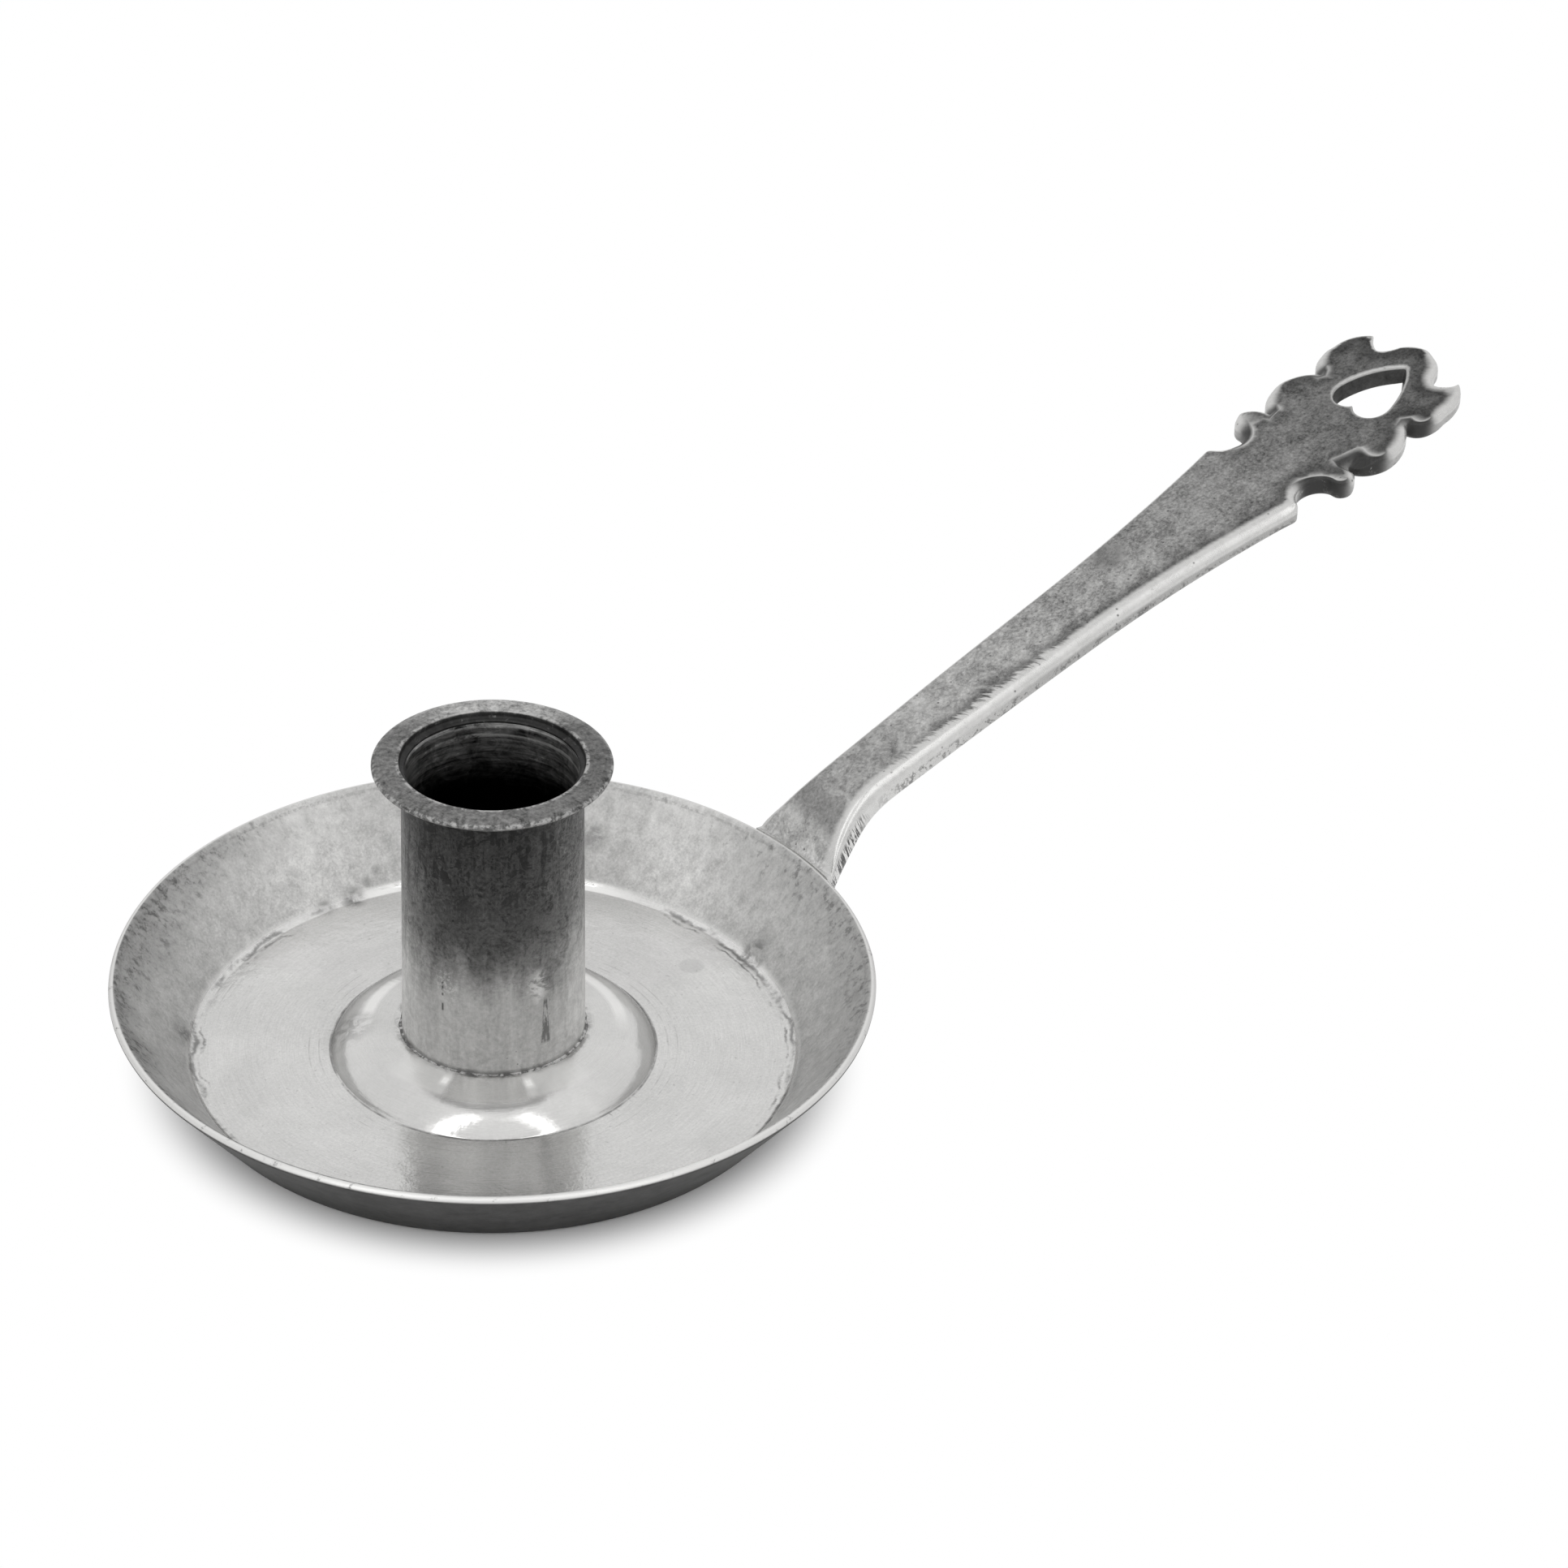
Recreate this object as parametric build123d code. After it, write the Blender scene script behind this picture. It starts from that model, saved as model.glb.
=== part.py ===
import os

from build123d import *

# Hand candlestick: a dished pan with a socket on a low boss and one long flat handle.
# Millimetres. The origin is the pan's centre on the surface that it stands on, +Z is up
# and the handle runs along +X.

# Drip pan, raised from one sheet
sheet = 1.15
floor_radius = 39.5
rim_radius = 49.28
rim_height = 12.9
bend_radius = 1.4
edge_round_share = 0.45

# Boss chased up in the middle of the pan
boss_radius = 21.3
boss_rise = 3.65
boss_shoulder_share = 0.45
boss_fall_share = 0.15

# Candle socket, from the boss up to its mouth
bore_radius = 11.2
tube_wall = 0.65
socket_height = 40.55

# Moulded ring that caps the tube: its lip covers the tube's end and rounds into the bore
ring_width = 3.57
ring_depth = 1.95
ring_lip_share = 0.7
mouth_round_share = 0.66
ring_crown_share = 0.50
ring_edge_shares = (0.95, 0.17)
ring_groove_shares = (0.90, 0.52)
ring_bead_shares = ((0.84, 0.68), (0.70, 0.80))
ring_sole_share = 0.48

# Legs of the solder beads
foot_solder = 1.0
ring_solder = 1.2
root_solder = 0.9

# Handle seen from the side
handle_reach = 163.1
tip_height = 54.1
bow = 1.15
neck_reach = 11.0
neck_rise = 9.1
root_drop = 0.3
neck_thickness = 4.3
shank_thickness = 3.4
tip_thickness = 2.6
elbow_lead = 2.6
elbow_reach = 6.5
elbow_rise = 1.0
heel_height = 4.2

# Handle seen from above
root_half_width = 7.8
waist_half_width = 4.7
shank_half_width = 5.95
shoulder_half_width = 9.8
shank_straight_share = 0.5
edge_round = 1.0

# Fretted finial: each arc's middle and end, along and across
finial_length = 33.1
finial_half_width = 12.05
finial_corner_round = 1.2
finial_edge_round = 0.65
bite_start_share = 0.70
finial_arc_shares = (
    ((0.080, 0.53), (0.180, 0.75)),
    ((0.195, 0.91), (0.240, 0.96)),
    ((0.280, 0.85), (0.307, 0.64)),
    ((0.355, 0.87), (0.430, 0.975)),
    ((0.535, 0.90), (0.610, 0.71)),
    ((0.643, 0.91), (0.765, 1.0)),
    ((0.860, 0.93), (0.920, 0.75)),
    ((0.878, 0.60), (0.857, 0.48)),
    ((0.890, 0.41), (0.930, 0.335)),
)

# Heart pierced through the finial, its point towards the tip
heart_tip_margin = 4.3
heart_length = 11.2
heart_half_width = 4.8
heart_cusp_share = 0.08
heart_arc_shares = (
    ((0.0, 0.52), (0.30, 1.0)),
    ((0.70, 0.64), (1.0, 0.0)),
)

# How far cuts run past a face, and curves past the tip
overrun = 2.0
run_on_share = 1.03

# How much a face must look up or down to be the handle's top or underside
flat_share = 0.3

# Places that follow from the sizes above
tube_radius = bore_radius + tube_wall
seat_height = sheet + boss_rise
mouth_height = seat_height + socket_height
ring_lip = ring_depth * ring_lip_share
mouth_round = ring_lip * mouth_round_share
tube_top = mouth_height - ring_lip
land_radius = tube_radius + foot_solder
shoulder_start = handle_reach - finial_length


def revolved(*edges):
    return revolve(Plane.XZ * make_face(edges), Axis.Z)


def pan_skin():
    # Upper side of the sheet, from the middle of the boss out to the rim.
    fall = boss_rise * boss_fall_share
    shoulder = (
        land_radius + (boss_radius - land_radius) * boss_shoulder_share,
        seat_height - fall,
    )
    top = Polyline((0, seat_height), (land_radius, seat_height), shoulder)
    roll = TangentArc(shoulder, (boss_radius, sheet), tangent=(shoulder[0] - land_radius, -fall))
    dish = Polyline((boss_radius, sheet), (floor_radius, sheet), (rim_radius, rim_height))
    return Wire([*top.edges(), *roll.edges(), *dish.edges()])


skin = pan_skin()
underside = skin.offset_2d(sheet, kind=Kind.INTERSECTION, side=Side.RIGHT, closed=False)
base_corner, rim_corner = [
    underside.vertices().sort_by(Axis.X)[place] for place in (-2, -1)
]
base_radius, rim_outer = base_corner.X, rim_corner.X


def drip_pan():
    middle = Line((0, seat_height - sheet), (0, seat_height))
    edge = Line((rim_radius, rim_height), (rim_corner.X, rim_corner.Y))
    section = make_face([*skin.edges(), *underside.edges(), middle, edge])

    def corners(*places):
        return [section.vertices().sort_by_distance(place)[0] for place in places]

    section = fillet(corners((floor_radius, sheet)), bend_radius)
    section = fillet(corners((base_radius, 0)), bend_radius + sheet)
    rim_corners = corners((rim_radius, rim_height), (rim_corner.X, rim_corner.Y))
    section = fillet(rim_corners, sheet * edge_round_share)
    return revolve(Plane.XZ * section, Axis.Z)


def pan_envelope(margin):
    # All that the pan fills or holds, and the air above it, out to its outer face plus a margin.
    outline = Polyline(
        (0, -overrun),
        (base_radius + margin, -overrun),
        (base_radius + margin, 0),
        (rim_outer + margin, rim_corner.Y),
        (rim_outer + margin, tip_height),
        (0, tip_height),
        close=True,
    )
    return revolved(*outline.edges())


def socket_tube():
    section = Pos(bore_radius, seat_height) * Rectangle(
        tube_wall, tube_top - seat_height, align=(Align.MIN, Align.MIN)
    )
    return revolve(Plane.XZ * section, Axis.Z)


def socket_rim():
    def place(across, down):
        # Shares of the ring, out from the tube and down from the mouth.
        return tube_radius + ring_width * across, mouth_height - ring_depth * down

    crown = TangentArc(place(ring_crown_share, 0), place(*ring_edge_shares), tangent=(1, 0))
    nose = TangentArc(crown @ 1, place(*ring_groove_shares), tangent=crown % 1)
    bead_middle, bead_end = [place(*shares) for shares in ring_bead_shares]
    bead = ThreePointArc(nose @ 1, bead_middle, bead_end)
    under = Polyline(
        bead_end,
        place(ring_sole_share, 1),
        place(0, 1),
        (tube_radius, tube_top),
        (bore_radius, tube_top),
        (bore_radius, mouth_height - mouth_round),
    )
    mouth = TangentArc(under @ 1, (bore_radius + mouth_round, mouth_height), tangent=(0, 1))
    return revolved(crown, nose, bead, *under.edges(), mouth, Line(mouth @ 1, crown @ 0))


def solder_cove(height, leg, way):
    # Ring of solder with a hollow face, in the corner between the tube and a flat face.
    corner = (tube_radius, height)
    on_tube = (tube_radius, height + way * leg)
    on_face = (tube_radius + leg, height)
    hollow = TangentArc(on_tube, on_face, tangent=(0, -way))
    return revolved(Line(corner, on_tube), hollow, Line(on_face, corner))


def handle_side(margin):
    # Side view of the handle. The margin lowers the underside, to shape the solder round the root.
    neck = (rim_outer + neck_reach, rim_height + neck_rise)
    root = (rim_outer, rim_height - root_drop)
    tip = (handle_reach, tip_height)
    crown = ((neck[0] + tip[0]) / 2, (neck[1] + tip[1]) / 2 + bow)
    top = ThreePointArc(neck, crown, tip)
    swan_neck = TangentArc(neck, root, tangent=-(top % 0))

    lead = top % 0 * elbow_lead
    under_tip = (tip[0], tip[1] - tip_thickness - margin)
    under_crown = (crown[0], crown[1] - shank_thickness - margin)
    under_neck = (neck[0] + lead.X, neck[1] + lead.Y - neck_thickness - margin)
    elbow = (rim_outer + elbow_reach, rim_height + elbow_rise - margin)
    heel = (floor_radius, heel_height - margin)
    under = ThreePointArc(under_neck, under_crown, under_tip)
    under_bend = TangentArc(under_neck, elbow, tangent=-(under % 0))
    under_heel = TangentArc(elbow, heel, tangent=under_bend % 1)
    inner_top = (floor_radius, root[1])
    past_tip, past_under_tip = [curve @ run_on_share for curve in (top, under)]
    return make_face(
        [
            ThreePointArc(neck, crown, past_tip),
            swan_neck,
            Line(root, inner_top),
            Line(inner_top, heel),
            under_heel,
            under_bend,
            ThreePointArc(under_neck, under_crown, past_under_tip),
            Line(past_under_tip, past_tip),
        ]
    )


def shank_plan(margin):
    # Half of the view from above, root to shoulder, mirrored.
    root = (rim_outer, root_half_width + margin)
    waist = (rim_outer + neck_reach, waist_half_width + margin)
    run = shoulder_start - waist[0]
    straight_end = (waist[0] + run * shank_straight_share, shank_half_width + margin)
    shoulder = (shoulder_start, shoulder_half_width + margin)
    flank = Line(waist, straight_end)
    flare = TangentArc(waist, root, tangent=-(flank % 0))
    swell = TangentArc(straight_end, shoulder, tangent=flank % 1)
    inner = (floor_radius, root[1])
    half = make_face(
        [
            Line((floor_radius, 0), inner),
            Line(inner, root),
            flare,
            flank,
            swell,
            Line(shoulder, (shoulder_start, 0)),
            Line((shoulder_start, 0), (floor_radius, 0)),
        ]
    )
    return half + mirror(half, Plane.XZ)


def fretted(start, arc_shares, origin, length, half_width):
    # Chain of arcs from a start point, each given by its middle and end, mirrored about the handle's axis.
    edges = []
    for shares in arc_shares:
        middle, end = [(origin + length * along, half_width * across) for along, across in shares]
        edges.append(ThreePointArc(start, middle, end))
        start = end
    return edges


def finial_plan():
    bite = (shoulder_start, finial_half_width * bite_start_share)
    tip = (handle_reach, 0)
    frets = fretted(bite, finial_arc_shares, shoulder_start, finial_length, finial_half_width)
    end_lobe = TangentArc(tip, frets[-1] @ 1, tangent=(0, 1))
    half = make_face(
        [
            *frets,
            end_lobe,
            Line(tip, (shoulder_start, 0)),
            Line((shoulder_start, 0), bite),
        ]
    )
    corners = [fret @ 1 for fret in frets]
    half = fillet(
        [half.vertices().sort_by_distance(corner)[0] for corner in corners], finial_corner_round
    )
    return half + mirror(half, Plane.XZ)


def heart_plan():
    origin = handle_reach - heart_tip_margin - heart_length
    cusp = (origin + heart_length * heart_cusp_share, 0)
    edges = fretted(cusp, heart_arc_shares, origin, heart_length, heart_half_width)
    half = make_face([*edges, Line((origin + heart_length, 0), cusp)])
    return half + mirror(half, Plane.XZ)


def bar(plan, margin=0):
    # Solid that has the plan seen from above and the handle's curves seen from the side.
    width = finial_half_width + overrun
    side = extrude(Plane.XZ * handle_side(margin), amount=width, both=True)
    return extrude(plan, amount=tip_height + overrun) & side


def rounded(solid, radius):
    # Rounds the edges that run along a bar, first below and then on top.
    for side in (-1, 1):
        flats = solid.faces().filter_by(lambda face: face.normal_at().Z * side > flat_share)
        solid = fillet(flats.edges().filter_by(Axis.Y, reverse=True), radius)
    return solid


def handle():
    # The root, behind the rim's edge, keeps square edges for the solder.
    rim_plane = Plane.YZ.offset(rim_outer)
    whole = bar(shank_plan(0))
    root = split(whole, rim_plane, keep=Keep.BOTTOM)
    shank = rounded(split(whole, rim_plane), edge_round)
    finial = rounded(bar(finial_plan()), finial_edge_round)
    heart = extrude(heart_plan(), amount=tip_height + overrun)
    return (root + shank) - pan_envelope(0) + (finial - heart)


def handle_solder():
    # Strip of solder round the sides and the heel of the root, on the pan's outer wall.
    collar = pan_envelope(root_solder) - pan_envelope(0)
    return (bar(shank_plan(root_solder), root_solder) & collar) - bar(shank_plan(0))


def build():
    return {
        "drip_pan": drip_pan(),
        "socket_tube": socket_tube(),
        "socket_rim": socket_rim(),
        "socket_solder": solder_cove(seat_height, foot_solder, 1),
        "rim_solder": solder_cove(mouth_height - ring_depth, ring_solder, -1),
        "handle": handle(),
        "handle_solder": handle_solder(),
    }


os.makedirs("parts", exist_ok=True)
for name, solid in build().items():
    export_step(solid, f"parts/{name}.step")
    print(name, round(solid.volume, 2), solid.bounding_box())
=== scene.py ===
import math

import bpy
import numpy as np
from mathutils import Matrix
from mathutils.geometry import delaunay_2d_cdt


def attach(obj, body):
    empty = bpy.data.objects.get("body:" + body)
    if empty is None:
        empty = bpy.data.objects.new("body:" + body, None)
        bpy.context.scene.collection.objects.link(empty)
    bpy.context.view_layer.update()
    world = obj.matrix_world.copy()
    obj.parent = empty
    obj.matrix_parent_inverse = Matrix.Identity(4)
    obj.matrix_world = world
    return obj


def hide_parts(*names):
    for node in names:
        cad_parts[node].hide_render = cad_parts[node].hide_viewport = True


# Hand candlestick in worn silver. Lengths are in millimetres until a mesh is made.
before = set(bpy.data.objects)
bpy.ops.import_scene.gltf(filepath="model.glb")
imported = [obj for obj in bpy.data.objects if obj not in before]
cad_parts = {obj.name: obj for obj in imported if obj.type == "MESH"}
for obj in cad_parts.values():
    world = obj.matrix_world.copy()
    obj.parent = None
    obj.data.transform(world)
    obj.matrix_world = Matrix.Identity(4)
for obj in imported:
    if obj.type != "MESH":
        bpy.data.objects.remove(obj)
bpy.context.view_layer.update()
print("frame loaded")

toMetres = 0.001


# points as arrays of numbers
def asPoints(*points):
    return (np.asarray(point, float) for point in points)


# a vector's direction, at length 1
def unit(vector):
    return vector / np.linalg.norm(vector)


# angles of a full turn in equal steps
def fullTurn(count):
    return np.linspace(0, 2 * np.pi, count, endpoint=False)


# arc that leaves start along heading and ends at end: start + R (sin a along, 1 - cos a to the left)
def tangentArc(start, heading, end, count):
    start, heading, end = asPoints(start, heading, end)
    heading = unit(heading)
    left = np.array([-heading[1], heading[0]])
    chord = end - start
    turn = math.atan2(left @ chord, heading @ chord)
    radius = np.hypot(*chord) / (2 * math.sin(turn))
    a = np.linspace(0, 2 * turn, count)[:, None]
    return start + radius * (np.sin(a) * heading + (1 - np.cos(a)) * left)


# centre of the circle through three points: it solves two equal-distance equations
def arcCentre(first, middle, last):
    rows = 2 * np.array([middle - first, last - first])
    return np.linalg.solve(rows, [middle @ middle - first @ first, last @ last - first @ first])


# arc through three points, in equal steps of its turn
def arcThrough(first, middle, last, count):
    first, middle, last = asPoints(first, middle, last)
    centre = arcCentre(first, middle, last)
    angles = np.unwrap([math.atan2(*(p - centre)[::-1]) for p in (first, middle, last)])
    a = np.linspace(angles[0], angles[2], count)[:, None]
    return centre + np.hypot(*(first - centre)) * np.hstack([np.cos(a), np.sin(a)])


# corner rounded by an arc that touches both of its sides
def roundedCorner(before, corner, after, radius, count=9):
    before, corner, after = asPoints(before, corner, after)
    inward, onward = unit(before - corner), unit(after - corner)
    half = math.acos(np.clip(inward @ onward, -1, 1)) / 2
    reach = radius / math.tan(half)
    return tangentArc(corner + inward * reach, -inward, corner + onward * reach, count)


# closed line with points at equal steps of its length
def evenLoop(points, step):
    line = np.vstack([points, points[:1]])
    along = np.r_[0, np.cumsum(np.hypot(*np.diff(line, axis=0).T))]
    keep = np.r_[True, np.diff(along) > 1e-9]
    stops = np.linspace(0, along[-1], int(math.ceil(along[-1] / step)) + 1)[:-1]
    return np.column_stack([np.interp(stops, along[keep], axis[keep]) for axis in line.T])


# line whose long runs are cut so that no step is longer than reach
def finer(points, reach):
    points = np.asarray(points)
    gaps = np.hypot(*np.diff(points, axis=0).T)
    cuts = np.maximum(1, np.ceil(gaps / reach)).astype(int)
    starts = np.repeat(np.arange(len(gaps)), cuts)
    share = (np.arange(len(starts)) - np.repeat(np.cumsum(cuts) - cuts, cuts)) / np.repeat(cuts, cuts)
    body = points[starts] + share[:, None] * (points[starts + 1] - points[starts])
    return np.vstack([body, points[-1:]])


# the same for a closed line
def finerLoop(points, reach):
    return finer(np.vstack([points, points[:1]]), reach)[:-1]


# soft step from 0 at low to 1 at high
def softStep(value, low, high):
    t = np.clip((value - low) / (high - low), 0, 1)
    return t * t * (3 - 2 * t)


# uneven handwork: a sum of waves round the full turn, each with its own count and phase
def handWaves(angle, counts, seed):
    dice = np.random.default_rng(seed)
    phases = dice.uniform(0, 2 * np.pi, len(counts))
    return sum(np.sin(n * angle + p) for n, p in zip(counts, phases)) / len(counts)


# quads between neighbouring rows and columns of a grid, wrapped where a direction closes
def gridQuads(rows, columns, wrapRows=False, wrapColumns=False):
    i = np.arange(rows if wrapRows else rows - 1)[:, None]
    j = np.arange(columns if wrapColumns else columns - 1)[None, :]
    nextI, nextJ = (i + 1) % rows, (j + 1) % columns
    corners = [i * columns + j, nextI * columns + j, nextI * columns + nextJ, i * columns + nextJ]
    return np.stack(np.broadcast_arrays(*corners), -1).reshape(-1, 4)


# mesh object at the origin; six times a signed volume tells whether the faces look outwards
def makePiece(name, points, faceSets, material, smooth=True, extras=None):
    tris = np.vstack([f[:, [0, k, k + 1]] for f in faceSets for k in range(1, f.shape[1] - 1)])
    a, b, c = (points[tris[:, k]] for k in range(3))
    if np.einsum("ij,ij->i", a, np.cross(b, c)).sum() < 0:
        faceSets = [f[:, ::-1] for f in faceSets]
    mesh = bpy.data.meshes.new(name)
    mesh.from_pydata((points * toMetres).tolist(), [], [f for faces in faceSets for f in faces.tolist()])
    mesh.polygons.foreach_set("use_smooth", np.full(len(mesh.polygons), smooth))
    for label, values in (extras or {}).items():
        layer = mesh.attributes.new(label, "FLOAT", "POINT")
        layer.data.foreach_set("value", np.asarray(values, np.float32))
    mesh.materials.append(material)
    mesh.validate()
    mesh.update()
    piece = bpy.data.objects.new(name, mesh)
    bpy.context.scene.collection.objects.link(piece)
    print(name, len(mesh.vertices), "points", len(mesh.polygons), "faces")
    return piece


# profile turned round the socket's axis: (r cos a, r sin a, z); ends on the axis become poles
def turnedGrid(profile, turns):
    a = fullTurn(turns)[:, None]
    r, z = profile.T
    return np.stack([r * np.cos(a), r * np.sin(a), z + 0 * a], -1), a


# quads between the turned profiles; an open profile is closed by a fan of triangles at each pole
def turnedPiece(name, grid, poles, material):
    rows, columns = grid.shape[:2]
    if not poles:
        return makePiece(name, grid.reshape(-1, 3), [gridQuads(rows, columns, True, True)], material)
    middle = grid[:, 1:-1].reshape(-1, 3)
    points = np.vstack([middle, grid[:, [0, -1]].mean(0)])
    quads = gridQuads(rows, columns - 2, True)
    first = np.arange(rows) * (columns - 2)
    follow = np.roll(first, -1)
    last, lastFollow = first + columns - 3, follow + columns - 3
    pole = np.full(rows, len(middle))
    caps = [np.column_stack([pole, follow, first]), np.column_stack([pole + 1, last, lastFollow])]
    return makePiece(name, points, [quads, *caps], material)


class Wire:  # one socket; sums and products of wires add Math nodes
    def __init__(self, paint, socket):
        self.paint, self.socket = paint, socket

    def math(self, operation, *values):
        return self.paint.node("ShaderNodeMath", {"operation": operation}, dict(enumerate(values)))

    def __add__(self, other):
        return self.math("ADD", self, other)

    def __radd__(self, other):
        return self.math("ADD", other, self)

    def __sub__(self, other):
        return self.math("SUBTRACT", self, other)

    def __rsub__(self, other):
        return self.math("SUBTRACT", other, self)

    def __mul__(self, other):
        return self.math("MULTIPLY", self, other)

    def __rmul__(self, other):
        return self.math("MULTIPLY", other, self)

    def __truediv__(self, other):
        return self.math("DIVIDE", self, other)

    def __pow__(self, other):
        return self.math("POWER", self, other)

    def __abs__(self):
        return self.math("ABSOLUTE", self)


# soft step from 0 at low to 1 at high, downwards where low is above high
def step(value, low, high):
    ends = {"To Min": 1.0, "To Max": 0.0} if low > high else {}
    values = {"Value": value, "From Min": min(low, high), "From Max": max(low, high), **ends}
    return value.paint.node("ShaderNodeMapRange", {"interpolation_type": "SMOOTHSTEP"}, values)


# 1 within inner of a middle value, 0 past outer
def line(value, middle, outer, inner):
    return step(abs(value - middle), outer, inner)


# the larger of two values
def most(first, second):
    return first.math("MAXIMUM", first, second)


# low plus a share of the way to high
def blend(low, high, amount):
    return low + (high - low) * amount


# base plus how far each noise is from its middle, times an amount
def vary(base, *swings):
    for noise, amount in swings:
        base = base + (noise - 0.5) * amount
    return base


# 1 where the turn points along a way, -1 on the other side
def towards(turn, way):
    return turn[0] * way[0] + turn[1] * way[1]


silverTint = (1.0, 0.995, 0.98)  # a little warm
silverGloss = 0.15  # mirror share of the hazy part
backWay = (0.578, 0.816)  # away from the viewer, as shares of x and y
rightWay = (0.816, -0.578)


class Paint:  # one material and the nodes that its finish needs
    def __init__(self, name):
        self.material = bpy.data.materials.new(name)
        self.material.use_nodes = True
        self.tree = self.material.node_tree
        self.tree.nodes.clear()

    def node(self, kind, settings=None, inputs=None, output=0):
        made = self.tree.nodes.new(kind)
        for key, value in (settings or {}).items():
            setattr(made, key, value)
        for key, value in (inputs or {}).items():
            if isinstance(value, Wire):
                self.tree.links.new(value.socket, made.inputs[key])
            else:
                made.inputs[key].default_value = value
        return Wire(self, made.outputs[output]) if made.outputs else None

    def place(self):  # millimetres on the object
        spot = self.node("ShaderNodeTexCoord", output="Object")
        return self.node("ShaderNodeVectorMath", {"operation": "SCALE"}, {0: spot, "Scale": 1 / toMetres})

    def parts(self, vector):
        split = self.node("ShaderNodeSeparateXYZ", inputs={0: vector})
        return [Wire(self, split.socket.node.outputs[k]) for k in range(3)]

    def vector(self, x, y, z):
        return self.node("ShaderNodeCombineXYZ", inputs={0: x, 1: y, 2: z})

    def attribute(self, name):
        return self.node("ShaderNodeAttribute", {"attribute_name": name}, output="Fac")

    def noise(self, where, scale, detail=4.0, rough=0.55, warp=0.0):
        values = {"Vector": where, "Scale": scale, "Detail": detail, "Roughness": rough, "Distortion": warp}
        return self.node("ShaderNodeTexNoise", inputs=values)

    def drawn(self, turn, around, along, *look):  # noise with one rate round the turn and another along it
        return self.noise(self.vector(turn[0] * around, turn[1] * around, along), 1.0, *look)

    def cells(self, where, scale):
        return self.node("ShaderNodeTexVoronoi", inputs={"Vector": where, "Scale": scale})

    def spot(self, where, centre, inner, outer):  # 1 within inner of a point, 0 past outer
        gap = self.node("ShaderNodeVectorMath", {"operation": "DISTANCE"}, {0: where, 1: centre}, "Value")
        return step(gap, outer, inner)

    def grey(self, value, tint=(1.0, 1.0, 1.0)):  # grey value to a slightly tinted colour
        plain = self.vector(value, value, value)
        return self.node("ShaderNodeVectorMath", {"operation": "MULTIPLY"}, {0: plain, 1: tint})

    def metal(self, value, roughness, metallic, height, bump, edge=1.0):  # part mirror, part haze
        relief = {"Strength": 1.0, "Distance": bump * toMetres, "Height": height}
        values = {
            "Base Color": self.grey(value, silverTint), "Roughness": roughness, "Metallic": metallic,
            "Normal": self.node("ShaderNodeBump", None, relief),
            "Specular IOR Level": silverGloss, "Specular Tint": (edge, edge, edge, 1.0),
        }
        shader = self.node("ShaderNodeBsdfPrincipled", None, values)
        self.node("ShaderNodeOutputMaterial", None, {"Surface": shader})
        return self.material


# distance from the axis, the cosine and sine of the turn, and the height
def roundPlace(paint, where):
    x, y, z = paint.parts(where)
    r = (x * x + y * y) ** 0.5
    reach = r + 0.001  # never zero on the axis
    return r, (x / reach, y / reach), z


# drip pan
panShape = {
    "sheet": 1.15, "floorRadius": 39.5, "rimRadius": 49.28, "rimHeight": 12.9,
    "bend": 1.4, "edgeRound": 0.5175, "bossRadius": 21.3, "bossTop": 4.8, "land": 12.85, "landRound": 2.0,
    "shoulder": (16.65, 4.2525), "crease": 0.3, "turns": 360, "step": 0.85,
    "rimSway": 0.10, "floorSway": 0.05, "bossSway": 0.10,
}

# shades run from 0, black, to 1, white
# the bend and roll highlights, the sheen, the glint and the boss reflection are painted light; the near-black
# outside is a painted dark reflection
panTones = {
    "floor": 0.66, "boss": 0.65, "wall": 0.73, "outside": 0.085, "grime": 0.16, "scratch": 0.14,
    "fleck": 0.09, "rimLine": 0.20, "crease": 0.10, "ticks": 0.20, "rings": 0.30, "paintedBossReflection": 0.30,
    "bendLine": 0.13, "bendHighlight": 0.90, "rollHighlight": 0.92, "paintedSheen": 0.74, "glint": 0.97, "lip": 0.70,
    "floorRough": 0.13, "wallRough": 0.46, "outsideRough": 0.45, "bump": 0.03, "edge": 0.58,
    "wallLine": (0.8323, 38.54),  # inner face of the wall: the first times the height, plus the second
}

# stains on the pan, and the socket's reflection painted on the wall: place, inner and outer reach, strength,
# and how far each is broken up
panStainsAndReflection = (
    ((32.3, -0.4, 1.15), 1.5, 1.9, 0.16, 0.0),
    # painted reflection of the socket on the wall right of it, in this row and the next
    ((39.8, -4.2, 2.0), 1.2, 3.0, 0.80, 1.0),
    ((41.9, -4.4, 4.3), 1.2, 1.9, 0.20, 0.0),
    ((35.3, 26.3, 6.8), 0.8, 3.0, 0.64, 1.0),
    ((0.2, 39.6, 1.4), 0.3, 2.0, 0.70, 0.7),
    ((4.6, 39.3, 1.4), 0.4, 2.4, 0.85, 0.7),
    ((7.4, 40.1, 2.7), 0.2, 1.1, 0.60, 0.6),
    ((9.2, 40.6, 3.7), 0.2, 1.0, 0.50, 0.6),
    ((-32.3, 24.3, 2.3), 0.4, 3.4, 0.80, 1.0),
)
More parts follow.
